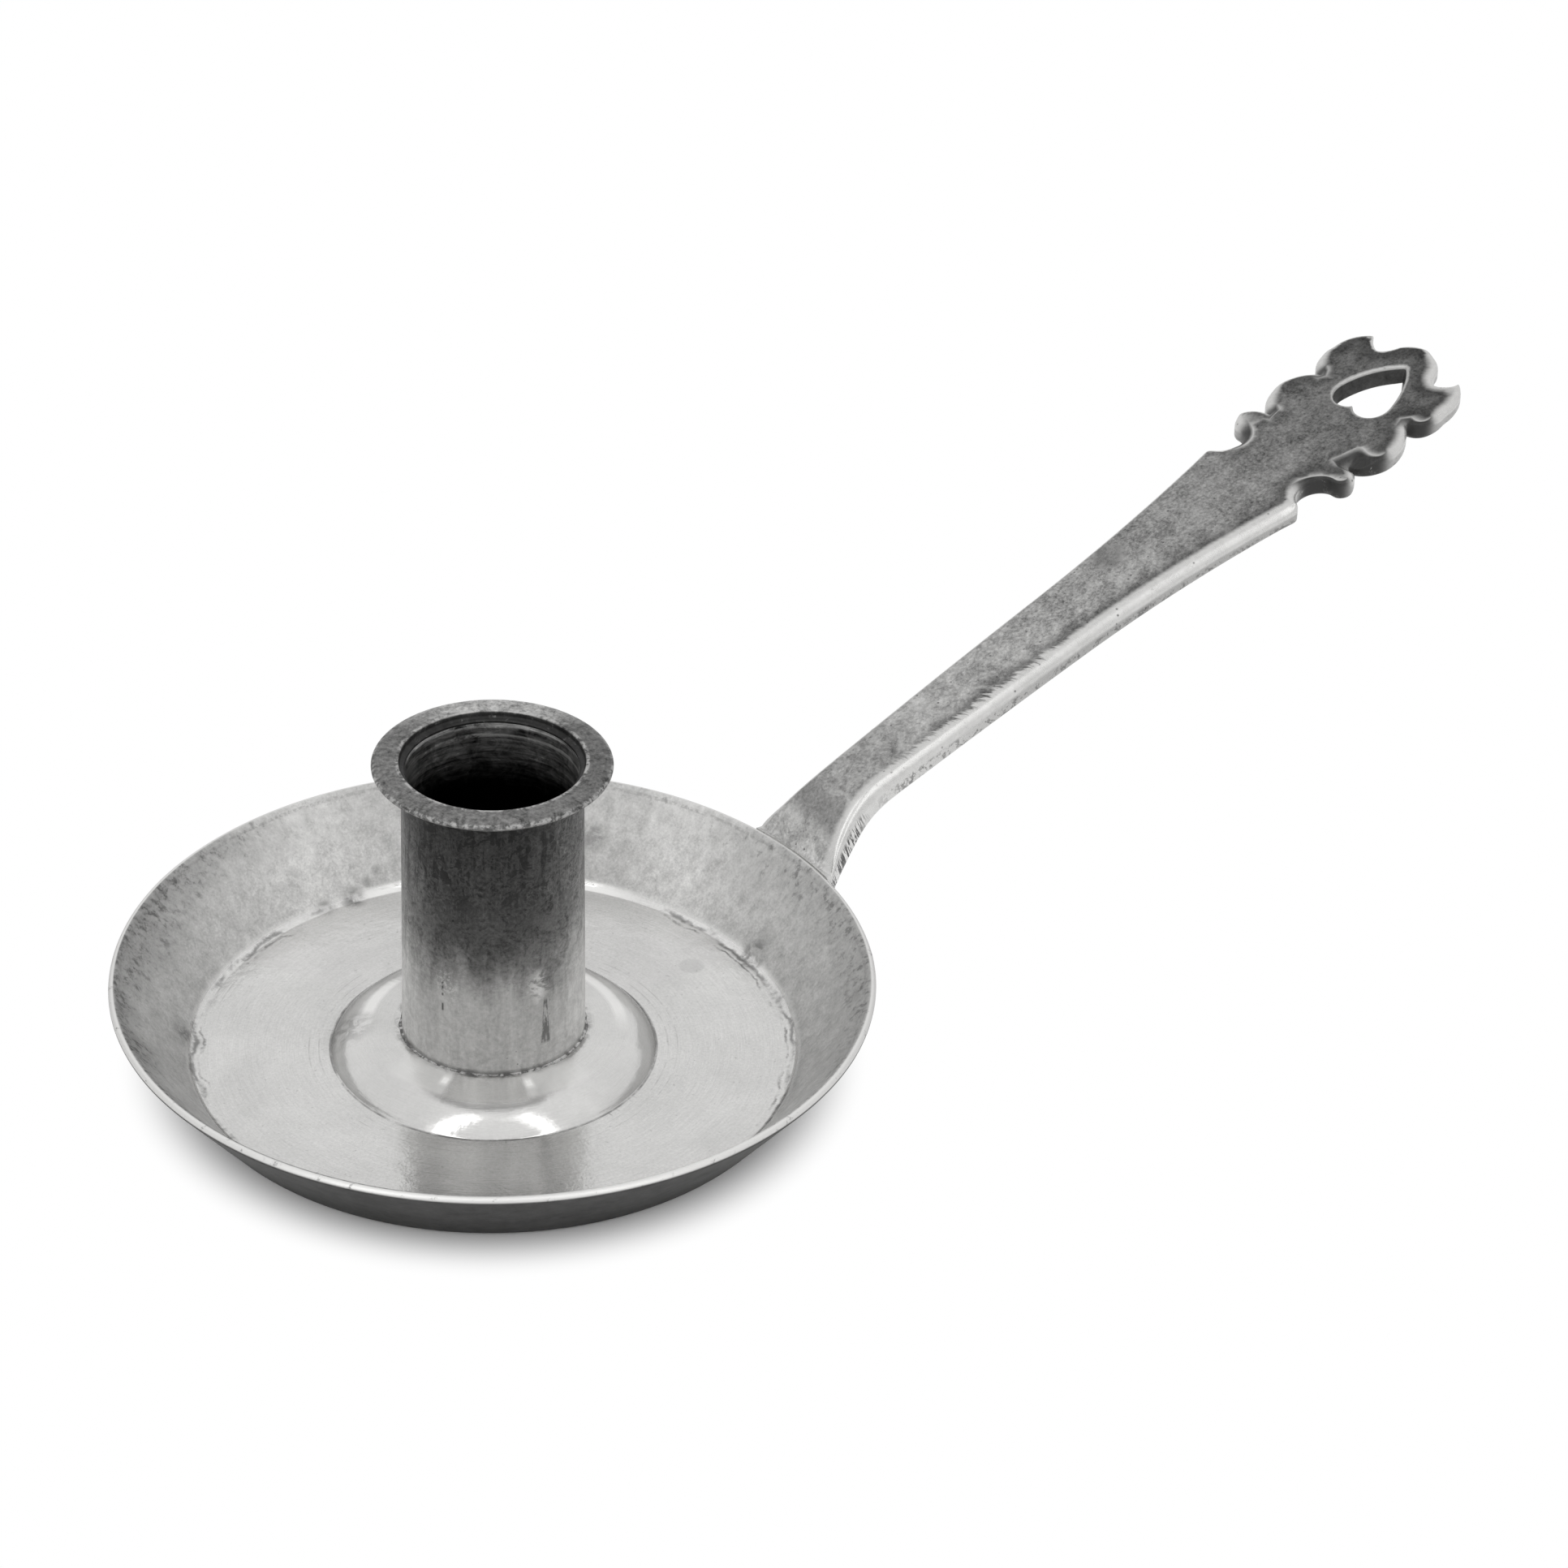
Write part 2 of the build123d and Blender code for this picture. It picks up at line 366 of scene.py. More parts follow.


# bright floor and boss, a hazy wall with grime creeping down from the rim, and a dark outside that is a
# painted reflection; painted highlights, reflections and shade besides: a base shade with noise on it is
# blended towards other shades by masks of radius, height and side
def panFinish(tone):
    paint = Paint("panSilver")
    where = paint.place()
    r, turn, z = roundPlace(paint, where)
    across, up = turn
    toBack = towards(turn, backWay)
    toFoot = towards(turn, (-0.631, -0.776))  # 1 where the socket mirrors in the boss
    turning = paint.drawn(turn, 3.0, r * 4.0, 3.0, 0.7)
    fineTurning = paint.drawn(turn, 9.0, r * 14.0, 2.0, 0.6)
    clouds = paint.noise(where, 0.085, 5.0, 0.6, 0.4)
    mottle = paint.noise(where, 0.55, 6.0, 0.65, 0.6)
    grain = paint.noise(where, 2.8, 3.0, 0.7)
    specks = paint.noise(where, 1.5, 4.0, 0.6)
    streaks = paint.drawn(turn, 26.0, z * 0.55, 4.0, 0.65, 0.3)
    patches = paint.drawn(turn, 3.2, z * 0.16, 5.0, 0.62, 0.5)
    lean, start = tone["wallLine"]
    wallGap = r - (z * lean + start)  # past the inner face of the wall
    onWall = step(z, 1.35, 2.4) * step(r, 36.0, 38.5)
    outside = step(wallGap, 0.40, 0.80) * step(r, 30.0, 36.0)
    outside = most(outside, step(z, 0.7, 0.3))
    onBoss = step(r, 21.6, 20.8)
    behind, crescent = step(toBack, 0.2, 0.9), step(toBack, 0.84, 0.93)
    leftSide = step(towards(turn, (-0.87, 0.50)), 0.35, 0.98)
    leftSide = most(leftSide, step(towards(turn, (-1.0, -0.10)), 0.60, 0.98))
    sides = most(leftSide, step(towards(turn, (0.82, -0.57)), 0.45, 0.98))
    tarnishAndSideShade = sides * (0.35 + patches * 1.1)
    # base shades of floor, boss and wall, with painted light on the boss's front and painted shade on the
    # wall
    shade = vary(tone["floor"], (turning, 0.10), (fineTurning, 0.20), (clouds, 0.22), (grain, 0.26))
    shade = shade - step(specks, 0.64, 0.72) * 0.14
    # painted light: the boss is painted a little lighter on its front
    bossShade = tone["boss"] + step(toBack, -0.75, -0.95) * 0.06
    bossShade = vary(bossShade, (fineTurning, 0.14), (clouds, 0.30), (grain, 0.12))
    shade = blend(shade, bossShade, onBoss)
    # tarnish, and painted shade: the wall is painted darker at its left and right
    wallShade = vary(tone["wall"] - tarnishAndSideShade * 0.30, (patches, 0.30))
    # painted shade: the middle of the wall's far side is painted darker
    wallShade = wallShade * (1 - step(toBack, 0.80, 0.98) * 0.33)
    wallShade = wallShade * vary(1, (mottle, 0.9), (streaks, 0.45), (grain, 0.8))
    shade = blend(shade, wallShade, onWall)
    # scratches, grime and flecks on the wall
    scratch = paint.noise(paint.vector(across * 48.0 + z * 0.5, up * 48.0, z * 0.9), 1.0, 3.0, 0.7)
    dashes = step(scratch + mottle * 0.7 + grain * 0.3 + tarnishAndSideShade * 0.16, 1.14, 1.36)
    shade = blend(shade, tone["scratch"], dashes * step(z, 5.0, 12.5) * onWall * 0.6)
    creep = step(vary(z, (patches, 13.0), (mottle, 7.0)), 6.5, 12.8)
    flecks = step(scratch * 0.6 + grain * 0.45 + mottle * 0.6, 0.74, 0.98)
    shade = shade * (1 - creep * onWall * (sides * 0.10 + leftSide * 0.22))
    flecks = creep * flecks * onWall * (0.14 + sides * 0.22 + leftSide * 0.45)
    shade = blend(shade, tone["fleck"], flecks)
    rimLine = line(z, 12.1, 0.28, 0.08) * step(specks + grain * 0.6, 0.70, 0.90)
    shade = blend(shade, tone["rimLine"], rimLine * onWall * 0.4)
    # painted highlights on the bend at the back and on the boss's roll, a floor painted lighter at the back,
    # and dark lines along the bend and round the boss
    calm = line(r, 39.9, 1.4, 0.6) * step(z, 3.4, 2.6)
    # painted light: the floor is painted lighter towards the wall on the far side
    shade = shade * (1 + behind * step(r, 28.0, 36.0) * (1 - onWall) * 0.16)
    # painted highlights: a pale line along the bend at the back and on the boss's roll behind the socket
    shade = blend(shade, tone["bendHighlight"], line(r, 39.6, 0.8, 0.35) * crescent * 0.9)
    shade = blend(shade, tone["rollHighlight"], line(r, 20.3, 0.7, 0.2) * behind * 0.8)
    creaseLine = line(r, 21.42, 0.24, 0.04) * step(mottle * 0.4 + patches, 0.50, 0.85)
    shade = blend(shade, tone["crease"], creaseLine * 0.75)
    ticks = line(r, 21.8, 0.5, 0.2) * step(streaks, 0.62, 0.70)
    shade = blend(shade, tone["ticks"], ticks * 0.5)
    rings = most(line(r, 22.9, 0.16, 0.03), line(r, 24.2, 0.14, 0.03))
    rings = rings * step(patches + mottle * 0.4, 0.66, 0.86)
    shade = blend(shade, tone["rings"], rings * 0.35)
    wander = vary(r - 39.2, (paint.noise(where, 0.22, 3.0, 0.5), 3.2), (grain, 0.5))
    bendLine = step(abs(wander), 0.55, 0.05) * step(patches + mottle * 0.3, 0.60, 0.76)
    innerLine = step(abs(wander + 1.0), 0.30, 0.04) * step(clouds + mottle * 0.3, 0.66, 0.80)
    shade = blend(shade, tone["bendLine"], most(bendLine, innerLine) * (0.72 - crescent * 0.6))
    # a painted dark reflection on the boss, grime at the socket's foot, stains, and the socket's reflection
    # painted on the wall
    # painted reflection: a dark patch on the boss's left roll
    paintedBossReflection = paint.spot(where, (-15.2, 11.6, 3.3), 1.2, 5.0) * step(mottle + clouds * 0.5, 0.66, 0.84)
    shade = blend(shade, tone["paintedBossReflection"], paintedBossReflection * 0.6)
    footGrime = step(r, 13.4, 12.3) * step(mottle, 0.38, 0.62)
    shade = blend(shade, tone["grime"], footGrime * 0.7)
    broken = step(mottle, 0.38, 0.60)
    # stains, and the socket's painted reflection, in the grime shade
    for place, inner, outer, strength, breaks in panStainsAndReflection:
        darkSpot = paint.spot(where, place, inner, outer) * blend(strength, broken * strength, breaks)
        shade = blend(shade, tone["grime"], darkSpot)
    # painted sheen and highlights on the boss beside the socket's reflection and on its roll, then the
    # outside, painted near black as a dark reflection, and the lip
    # painted light: pale, less mirror-like flanks beside the socket's reflection, painted highlights near its
    # foot, and bright bands on the roll
    paintedSheen = step(toFoot, 0.956, 0.930) * step(toFoot, 0.50, 0.75) * step(r, 17.6, 16.4)
    paintedGlints = line(toFoot, 0.925, 0.024, 0.006) * line(r, 14.3, 1.3, 0.3)
    paintedRollBand = line(r, 16.8, 1.2, 0.4) * step(toBack, -0.10, 0.25) * step(patches, 0.34, 0.54)
    paintedGlints = most(paintedGlints, paintedRollBand * 0.6)
    shade = blend(blend(shade, tone["paintedSheen"], paintedSheen * 0.5), tone["glint"], paintedGlints)
    # painted reflection: the outer face and the underside are painted near black, as a dark ground mirrored
    # in them
    outShade = tone["outside"] * vary(1, (mottle, 0.8), (streaks, 0.6), (patches, 0.8), (grain, 0.6))
    shade = blend(shade, outShade, outside)
    lipEdge = step(wallGap, 0.06, 0.28) * step(z, 12.0, 12.3)
    paleEdge = step(streaks * 0.6 + mottle + grain * 0.4, 0.66, 0.90)
    shade = blend(shade, tone["lip"], lipEdge * paleEdge)
    # gloss and relief
    dull = step(z - crescent * 0.3, 1.25, 2.1) * step(r, 36.0, 38.5)
    rough = blend(tone["floorRough"], tone["wallRough"], dull)
    rough = rough + ((mottle - 0.5) * 0.16 + (fineTurning - 0.5) * 0.10) * (1 - calm)
    rough = blend(rough, tone["outsideRough"], outside)
    relief = mottle * 0.5 + fineTurning * 0.25 + turning * 0.35 + grain * 0.12
    height = clouds * 5.0 + relief * (1 - calm * 0.9)
    roll = step(r, 16.5, 18.5) * onBoss
    metallic = blend(0.86 - most(roll, behind) * 0.26, 0.45, dull)
    metallic = blend(metallic, 0.35, most(paintedSheen * 0.8, paintedGlints))
    metallic = blend(metallic, 1.0, outside)
    return paint.metal(shade, rough, metallic, height, tone["bump"], tone["edge"])


# outer face of the pan's wall, a straight line up to the rim
wallSlope = (panShape["rimRadius"] - panShape["floorRadius"]) / (panShape["rimHeight"] - panShape["sheet"])
wallLean = math.atan(wallSlope)
rimOuter = panShape["rimRadius"] + panShape["sheet"] * math.cos(wallLean)
rimOuterHeight = panShape["rimHeight"] - panShape["sheet"] * math.sin(wallLean)


# its radius at a height: the rim's radius less the drop times the slope
def outerRadius(z):
    return rimOuter + (np.minimum(z, rimOuterHeight) - rimOuterHeight) * wallSlope


# section of the sheet: boss, floor and wall above, then round the rim and back below at one thickness
def panSection(shape):
    sheet, top = shape["sheet"], shape["bossTop"]
    floorRadius, rim = shape["floorRadius"], (shape["rimRadius"], shape["rimHeight"])
    land, shoulder, foot = (shape["land"], top), shape["shoulder"], (shape["bossRadius"], sheet)
    fall = np.subtract(shoulder, land)
    roll = tangentArc(shoulder, fall, foot, 24)
    bend, base = (floorRadius, sheet), (outerRadius(0.0), 0.0)
    outer = (rimOuter, rimOuterHeight)
    centre = arcCentre(roll[0], roll[12], roll[-1])
    radius = np.hypot(*(roll[0] - centre))
    under = centre + (roll - centre) * (radius - sheet) / radius
    under = under[under[:, 1] > 0]
    parts = [
        [(0.0, top)],
        roundedCorner((0.0, top), land, shoulder, shape["landRound"]),
        roll[:-2],
        roundedCorner(roll[-3], foot, bend, shape["crease"], 5),
        roundedCorner(foot, bend, rim, shape["bend"]),
        roundedCorner(bend, rim, outer, shape["edgeRound"]),
        roundedCorner(rim, outer, base, shape["edgeRound"]),
        roundedCorner(outer, base, (0.0, 0.0), shape["bend"] + sheet, 13),
        under[::-1],
        [(land[0], top - sheet), (0.0, top - sheet)],
    ]
    return finer(np.vstack(parts), shape["step"])


# the section turned round the axis; waves draw the rim in, and lift and lower the floor and the boss
def makePan(shape, silver):
    grid, a = turnedGrid(panSection(shape), shape["turns"])
    r = np.hypot(grid[..., 0], grid[..., 1])
    drawnIn = np.abs(handWaves(a, (2, 3, 5, 7), 4) * shape["rimSway"])
    grid[..., :2] *= (1 - drawnIn * softStep(r, 30.0, 50.0) / 60.0)[..., None]
    onFloor = softStep(r, 20.0, 26.0) * softStep(r, 38.0, 32.0) * (grid[..., 2] > 0.6)
    grid[..., 2] += handWaves(a, (1, 3, 4, 9), 9) * shape["floorSway"] * onFloor
    onRoll = softStep(r, 14.0, 16.5) * softStep(r, 21.2, 18.5)
    grid[..., 2] += handWaves(a, (3, 5, 8, 13), 21) * shape["bossSway"] * onRoll
    pan = turnedPiece("dripPan", grid, True, silver)
    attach(pan, "root")
    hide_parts("drip_pan")


makePan(panShape, panFinish(panTones))

# candle socket
socketShape = {
    "bore": 11.2, "footRadius": 12.0, "neckRadius": 11.7, "foot": 4.8, "top": 43.985, "turns": 256,
    "step": 0.9, "swell": 0.004,
}

tubeTones = {
    "foot": 0.69, "middle": 0.28, "top": 0.15, "drip": 0.13, "nick": 0.06, "glint": 0.85, "blots": 0.60,
    "pits": 0.06, "lining": 0.17, "darkest": 0.004, "rough": 0.42, "bump": 0.045,
}


# pale at the foot and dark at the top, in upright streaks, with a painted dark reflection on the side towards
# the viewer; dark inside, with turned lines near the mouth
def tubeFinish(tone):
    paint = Paint("socketSilver")
    where = paint.place()
    r, turn, z = roundPlace(paint, where)
    across, up = turn
    streaks = paint.drawn(turn, 8.0, z * 0.09, 5.0, 0.68, 0.3)
    fineStreaks = paint.drawn(turn, 26.0, z * 0.35, 3.0, 0.65)
    runs = paint.drawn(turn, 3.0, z * 0.05, 4.0, 0.6, 0.2)
    mottle = paint.noise(where, 0.40, 7.0, 0.74, 1.2)
    grain = paint.noise(where, 2.0, 4.0, 0.7)
    turnsIn = paint.drawn(turn, 1.5, z * 1.6, 5.0, 0.72)
    blotch = step(mottle, 0.34, 0.66)
    climb = step(vary(z, (runs, 14.0), (mottle, 6.0)), 13.0, 26.0)
    higher = step(vary(z, (streaks, 18.0), (mottle, 8.0)), 25.0, 42.0)
    smears = step(streaks * 0.6 + mottle * 1.3 + fineStreaks * 0.2, 1.04, 1.13)
    smears = smears * step(z, 22.0, 34.0)
    wiped = step(runs + mottle * 0.7, 0.92, 1.06) * step(z, 26.0, 38.0)
    # painted dark reflection: the side towards the viewer is painted darker, more so higher up
    darkening = step(towards(turn, (-0.63, -0.777)), 0.25, 1.0)
    shade = blend(tone["foot"], tone["middle"], climb)
    shade = blend(shade, tone["top"], higher)
    shade = shade * (1 - darkening * (0.34 + climb * 0.38))
    rub = vary(1, (blotch, 0.22 + climb * 0.75), (streaks, 0.7), (fineStreaks, climb * 0.25))
    shade = shade * vary(rub, (grain, 0.6 + climb * 1.4)) * (1 - smears * 0.66)
    # a drip that tapers upwards and two nicks at the side
    drip = step(abs(across + 0.021) / (0.112 - z * 0.0058), 1.15, 0.75) * step(up, -0.6, -0.8)
    drip = drip * line(z, 11.8, 3.7, 3.0) * step(fineStreaks + grain * 0.6, 0.60, 0.86)
    shade = blend(shade, tone["drip"], drip * 0.85)
    nick = step(abs(towards(turn, (0.367, -0.93))), 0.016, 0.006) * step(across, -0.6, -0.8)
    nick = nick * most(line(z, 17.0, 1.2, 0.9), line(z, 14.2, 0.7, 0.4))
    shade = blend(shade, tone["nick"], nick * 0.85)
    # pale places, a darker back and pits
    around = paint.vector(across, up, z * 0.05)
    glint = paint.spot(around, (-0.105, -0.995, 0.88), 0.04, 0.16)
    shade = blend(shade, tone["glint"], glint * step(blotch, 0.2, 0.7) * 0.6)
    blots = paint.spot(around, (-0.911, -0.412, 0.86), 0.05, 0.18)
    shade = blend(shade, tone["blots"], blots * step(grain + mottle, 0.98, 1.12) * 0.7)
    shade = blend(shade, shade * 1.7, wiped)
    shade = shade * (1 - step(towards(turn, (-0.816, 0.578)), 0.2, 0.8) * higher * 0.22)
    pits = step(paint.cells(where, 0.75), 0.13, 0.04) * step(mottle, 0.48, 0.60)
    shade = blend(shade, tone["pits"], pits * 0.7)
    # lining
    inside = step(r, 11.55, 11.3)
    lit = step(vary(z, (mottle, 5.0)), 34.0, 42.0)
    lining = tone["lining"] * vary(1, (step(turnsIn, 0.36, 0.64), 1.2), (blotch, 0.8))
    ridge = step(abs(vary(z - 42.2, (turnsIn, -1.2))), 0.35, 0.08)
    ridge = ridge * step(blotch + across, 0.5, 1.0)
    lining = (lining + step(turnsIn + grain * 0.4, 0.80, 0.90) * 0.30) * lit + ridge * 0.30
    shade = most(blend(shade, lining, inside), tone["darkest"])
    rough = vary(tone["rough"], (mottle, 0.2))
    metallic = blend(0.5, 1.0, inside * (1 - lit * 0.6))
    height = mottle * 1.2 + streaks + grain * 0.6 - pits
    return paint.metal(shade, rough, metallic, height, tone["bump"])


# the wall's section, thinner towards the top, turned round the axis and swelling in waves halfway up
def makeTube(shape, silver):
    bore, foot, top = shape["bore"], shape["foot"], shape["top"]
    corners = [(bore, foot), (shape["footRadius"], foot), (shape["neckRadius"], top), (bore, top)]
    grid, a = turnedGrid(finerLoop(corners, shape["step"]), shape["turns"])
    halfway = softStep(np.abs(grid[..., 2] - 24.0), 20.0, 12.0)
    swell = 1 + handWaves(a, (2, 3, 5), 21) * shape["swell"] * halfway
    grid[..., :2] *= swell[..., None]
    tube = turnedPiece("socketTube", grid, False, silver)
    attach(tube, "root")
    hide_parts("socket_tube")


makeTube(socketShape, tubeFinish(tubeTones))

# moulded ring round the mouth; crown, edge, groove, bead and sole are shares of its width and depth
ringShape = {
    "inner": 11.85, "width": 3.57, "mouth": 45.35, "depth": 1.95, "lip": 1.365, "bore": 11.2,
    "mouthRound": 0.25, "ledge": 0.3, "ledgeRise": 0.2, "rebate": 0.05,
    "crown": 0.50, "edge": (0.95, 0.17), "groove": (0.90, 0.52), "bead": ((0.84, 0.68), (0.70, 0.80)),
    "sole": 0.48, "turns": 300, "step": 0.5,
}

rimTones = {
    "front": 0.152, "back": 0.36, "paleEdge": 0.46, "bead": 0.40, "darkening": 0.03, "darkest": 0.02,
    "rough": 0.40, "metallic": 0.5, "bump": 0.05,
}


# dull and grainy, paler at the back, with rubbed edges at the mouth and the nose and darker below the mouth
def rimFinish(tone):
    paint = Paint("rimSilver")
    where = paint.place()
    r, turn, z = roundPlace(paint, where)
    mottle = paint.noise(where, 0.45, 6.0, 0.70, 0.6)
    grain = paint.noise(where, 1.5, 5.0, 0.7)
    tool = paint.drawn(turn, 5.0, r * 4.0, 3.0, 0.6)
    handled = step(towards(turn, backWay), 0.55, 0.98)
    shade = blend(tone["front"], tone["back"], handled)
    shade = shade - step(towards(turn, rightWay), 0.4, 1.0) * 0.03
    shade = shade * vary(1, (step(mottle, 0.34, 0.66), 0.60), (grain, 3.0), (tool, 0.7))
    mouth = line(r, 12.2, 0.34, 0.08) * step(mottle + grain * 0.7, 0.80, 0.96)
    nose = step(r, 14.95, 15.3) * step(grain + mottle * 0.6, 0.74, 0.90)
    bead = line(r, 14.75, 0.22, 0.06) * step(z, 44.2, 44.0) * step(grain, 0.44, 0.56)
    shade = blend(shade, tone["paleEdge"], most(mouth, nose * 0.7) * 0.8)
    shade = blend(shade, tone["bead"], bead * 0.8)
    darkening = tone["darkening"] * vary(1, (mottle, 2.4)) + step(grain + mottle * 0.5, 0.84, 0.96) * 0.10
    shade = most(blend(shade, darkening, step(r, 12.02, 11.86)), tone["darkest"])
    rough = vary(tone["rough"], (mottle, 0.2))
    return paint.metal(shade, rough, tone["metallic"], mottle + grain * 0.8, tone["bump"])


# the section's crown, nose and lower bead are arcs one after another; it is turned round the axis
def makeRing(shape, silver):
    def place(across, down):
        return shape["inner"] + shape["width"] * across, shape["mouth"] - shape["depth"] * down

    crown = tangentArc(place(shape["crown"], 0), (1, 0), place(*shape["edge"]), 12)
    nose = tangentArc(crown[-1], crown[-1] - crown[-2], place(*shape["groove"]), 14)
    beadMiddle, beadEnd = (place(*share) for share in shape["bead"])
    bead = arcThrough(nose[-1], beadMiddle, beadEnd, 10)
    lipFoot, inside = shape["mouth"] - shape["lip"], shape["inner"] + shape["rebate"]
    ledge = (shape["bore"], lipFoot + shape["ledge"])
    mouthTop = (inside + shape["mouthRound"], shape["mouth"])
    rebate = [ledge, (inside - shape["rebate"], ledge[1] + shape["ledgeRise"])]
    mouth = tangentArc((inside, shape["mouth"] - shape["mouthRound"]), (0, 1), mouthTop, 8)
    under = [place(shape["sole"], 1), place(0, 1), (shape["inner"], lipFoot), (shape["bore"], lipFoot)]
    section = finerLoop(np.vstack([crown, nose[1:], bead[1:], under, rebate, mouth]), shape["step"])
    ring = turnedPiece("socketRim", turnedGrid(section, shape["turns"])[0], False, silver)
    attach(ring, "root")
    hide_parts("socket_rim")


makeRing(ringShape, rimFinish(rimTones))

# solder at the foot of the tube and under the ring
coveShape = {"tube": 11.7, "turns": 300, "steps": 9}
footCove = {**coveShape, "height": 4.8, "way": 1, "leg": 0.62, "uneven": 0.30, "seed": 31}
rimCove = {**coveShape, "height": 43.4, "way": -1, "leg": 1.1, "uneven": 0.12, "seed": 47}

solderTones = {
    "clean": 0.50, "grime": 0.13, "cleanRough": 0.30, "grimeRough": 0.5, "metallic": 0.55, "bump": 0.05,
}


# pale lumps with grime between them
def solderFinish(tone):
    paint = Paint("solder")
    where = paint.place()
    lumps = paint.noise(where, 0.9, 5.0, 0.6, 0.5)
    grain = paint.noise(where, 3.5, 3.0, 0.6)
    grime = step(lumps, 0.42, 0.58)
    shade = blend(tone["clean"], tone["grime"], grime) * vary(1, (grain, 0.8))
    rough = blend(tone["cleanRough"], tone["grimeRough"], grime)
    return paint.metal(shade, rough, tone["metallic"], lumps + grain * 0.4, tone["bump"])


solderSilver = solderFinish(solderTones)


# a hollow quarter round turned about the axis, whose two legs change in waves
def makeCove(name, node, shape):
    height, leg, uneven, seed = (shape[size] for size in ("height", "leg", "uneven", "seed"))
    a = fullTurn(shape["turns"])[:, None]
    legs = leg * (1 + uneven * handWaves(a, (3, 7, 11, 19, 31), seed))
    rise = leg * (1 + uneven * handWaves(a, (4, 9, 13, 23, 37), seed + 1))
    t = np.linspace(0, np.pi / 2, shape["steps"])[None, :]
    r = shape["tube"] + legs * (1 - np.cos(t))
    z = height + shape["way"] * rise * (1 - np.sin(t))
    r = np.hstack([r, np.full_like(a, shape["tube"])])
    z = np.hstack([z, np.full_like(a, height)])
    grid = np.stack([r * np.cos(a), r * np.sin(a), z], -1)
    cove = turnedPiece(name, grid, False, solderSilver)
    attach(cove, "root")
    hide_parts(node)


makeCove("socketSolder", "socket_solder", footCove)
makeCove("rimSolder", "rim_solder", rimCove)

# handle
handleShape = {
    "reach": 163.1, "tipHeight": 54.0, "bow": 1.15, "neckReach": 11.0, "neckRise": 9.1, "rootDrop": 0.3,
    "neckThickness": 4.3, "shankThickness": 3.4, "tipThickness": 2.6, "elbowLead": 2.6, "elbowReach": 6.5,
    "elbowRise": 1.0, "heel": (39.5, 4.2), "rootStart": 44.0, "rootHalf": 7.8, "waistHalf": 4.7,
    "shankHalf": 5.95, "shoulder": (130.2, 9.8), "straightShare": 0.5, "step": 0.3, "soft": 0.30,
    "noseSoft": 0.75, "sink": 0.25,
    "frets": (
        ((133.0, 6.85), (136.0, 9.4)), ((136.5, 11.3), (137.8, 12.0)), ((139.5, 10.4), (140.3, 8.0)),
        ((141.8, 10.8), (144.5, 12.15)), ((148.0, 11.3), (150.5, 8.9)), ((151.7, 11.4), (155.5, 12.2)),
        ((158.8, 11.4), (160.8, 9.2)), ((159.3, 7.6), (158.7, 6.2)), ((159.7, 4.9), (161.1, 4.2)),
    ),
    "aside": 0.45, "narrow": 0.958, "leanFrom": (146.0, 156.0), "finialFrom": (129.0, 131.0),
    "heartEnds": (147.6, 158.8), "heartHalf": 4.85, "heartCusp": 0.9, "heartStep": 0.25, "heartBevel": 0.4,
    "heartTaper": 0.45, "bevel": 1.25, "bevelDepth": 0.8, "under": 0.9, "thumbBevel": 0.45, "thumbDepth": 0.6,
    "scoopBevel": 0.5, "scrollBevel": 0.9, "groove": (141.4, 8.9), "grooveBevel": 2.4, "grooveDepth": 1.3,
    "topSpacing": 1.1, "lowSpacing": 1.6,
}

handleTones = {
    "root": 0.38, "shank": 0.255, "tip": 0.10, "bright": 0.58, "rootWall": 0.66, "shankWall": 0.40,
    "notchAndShade": 0.05, "notchAndShadeWall": 0.045, "heart": 0.06, "under": 0.20, "crescent": 0.15, "scuff": 0.10,
    "filed": 0.03, "lowGrime": 0.10, "pits": 0.05, "darkest": 0.012, "rough": 0.42,
    "wornRough": 0.28, "metallic": 0.55, "bump": 0.05,
}
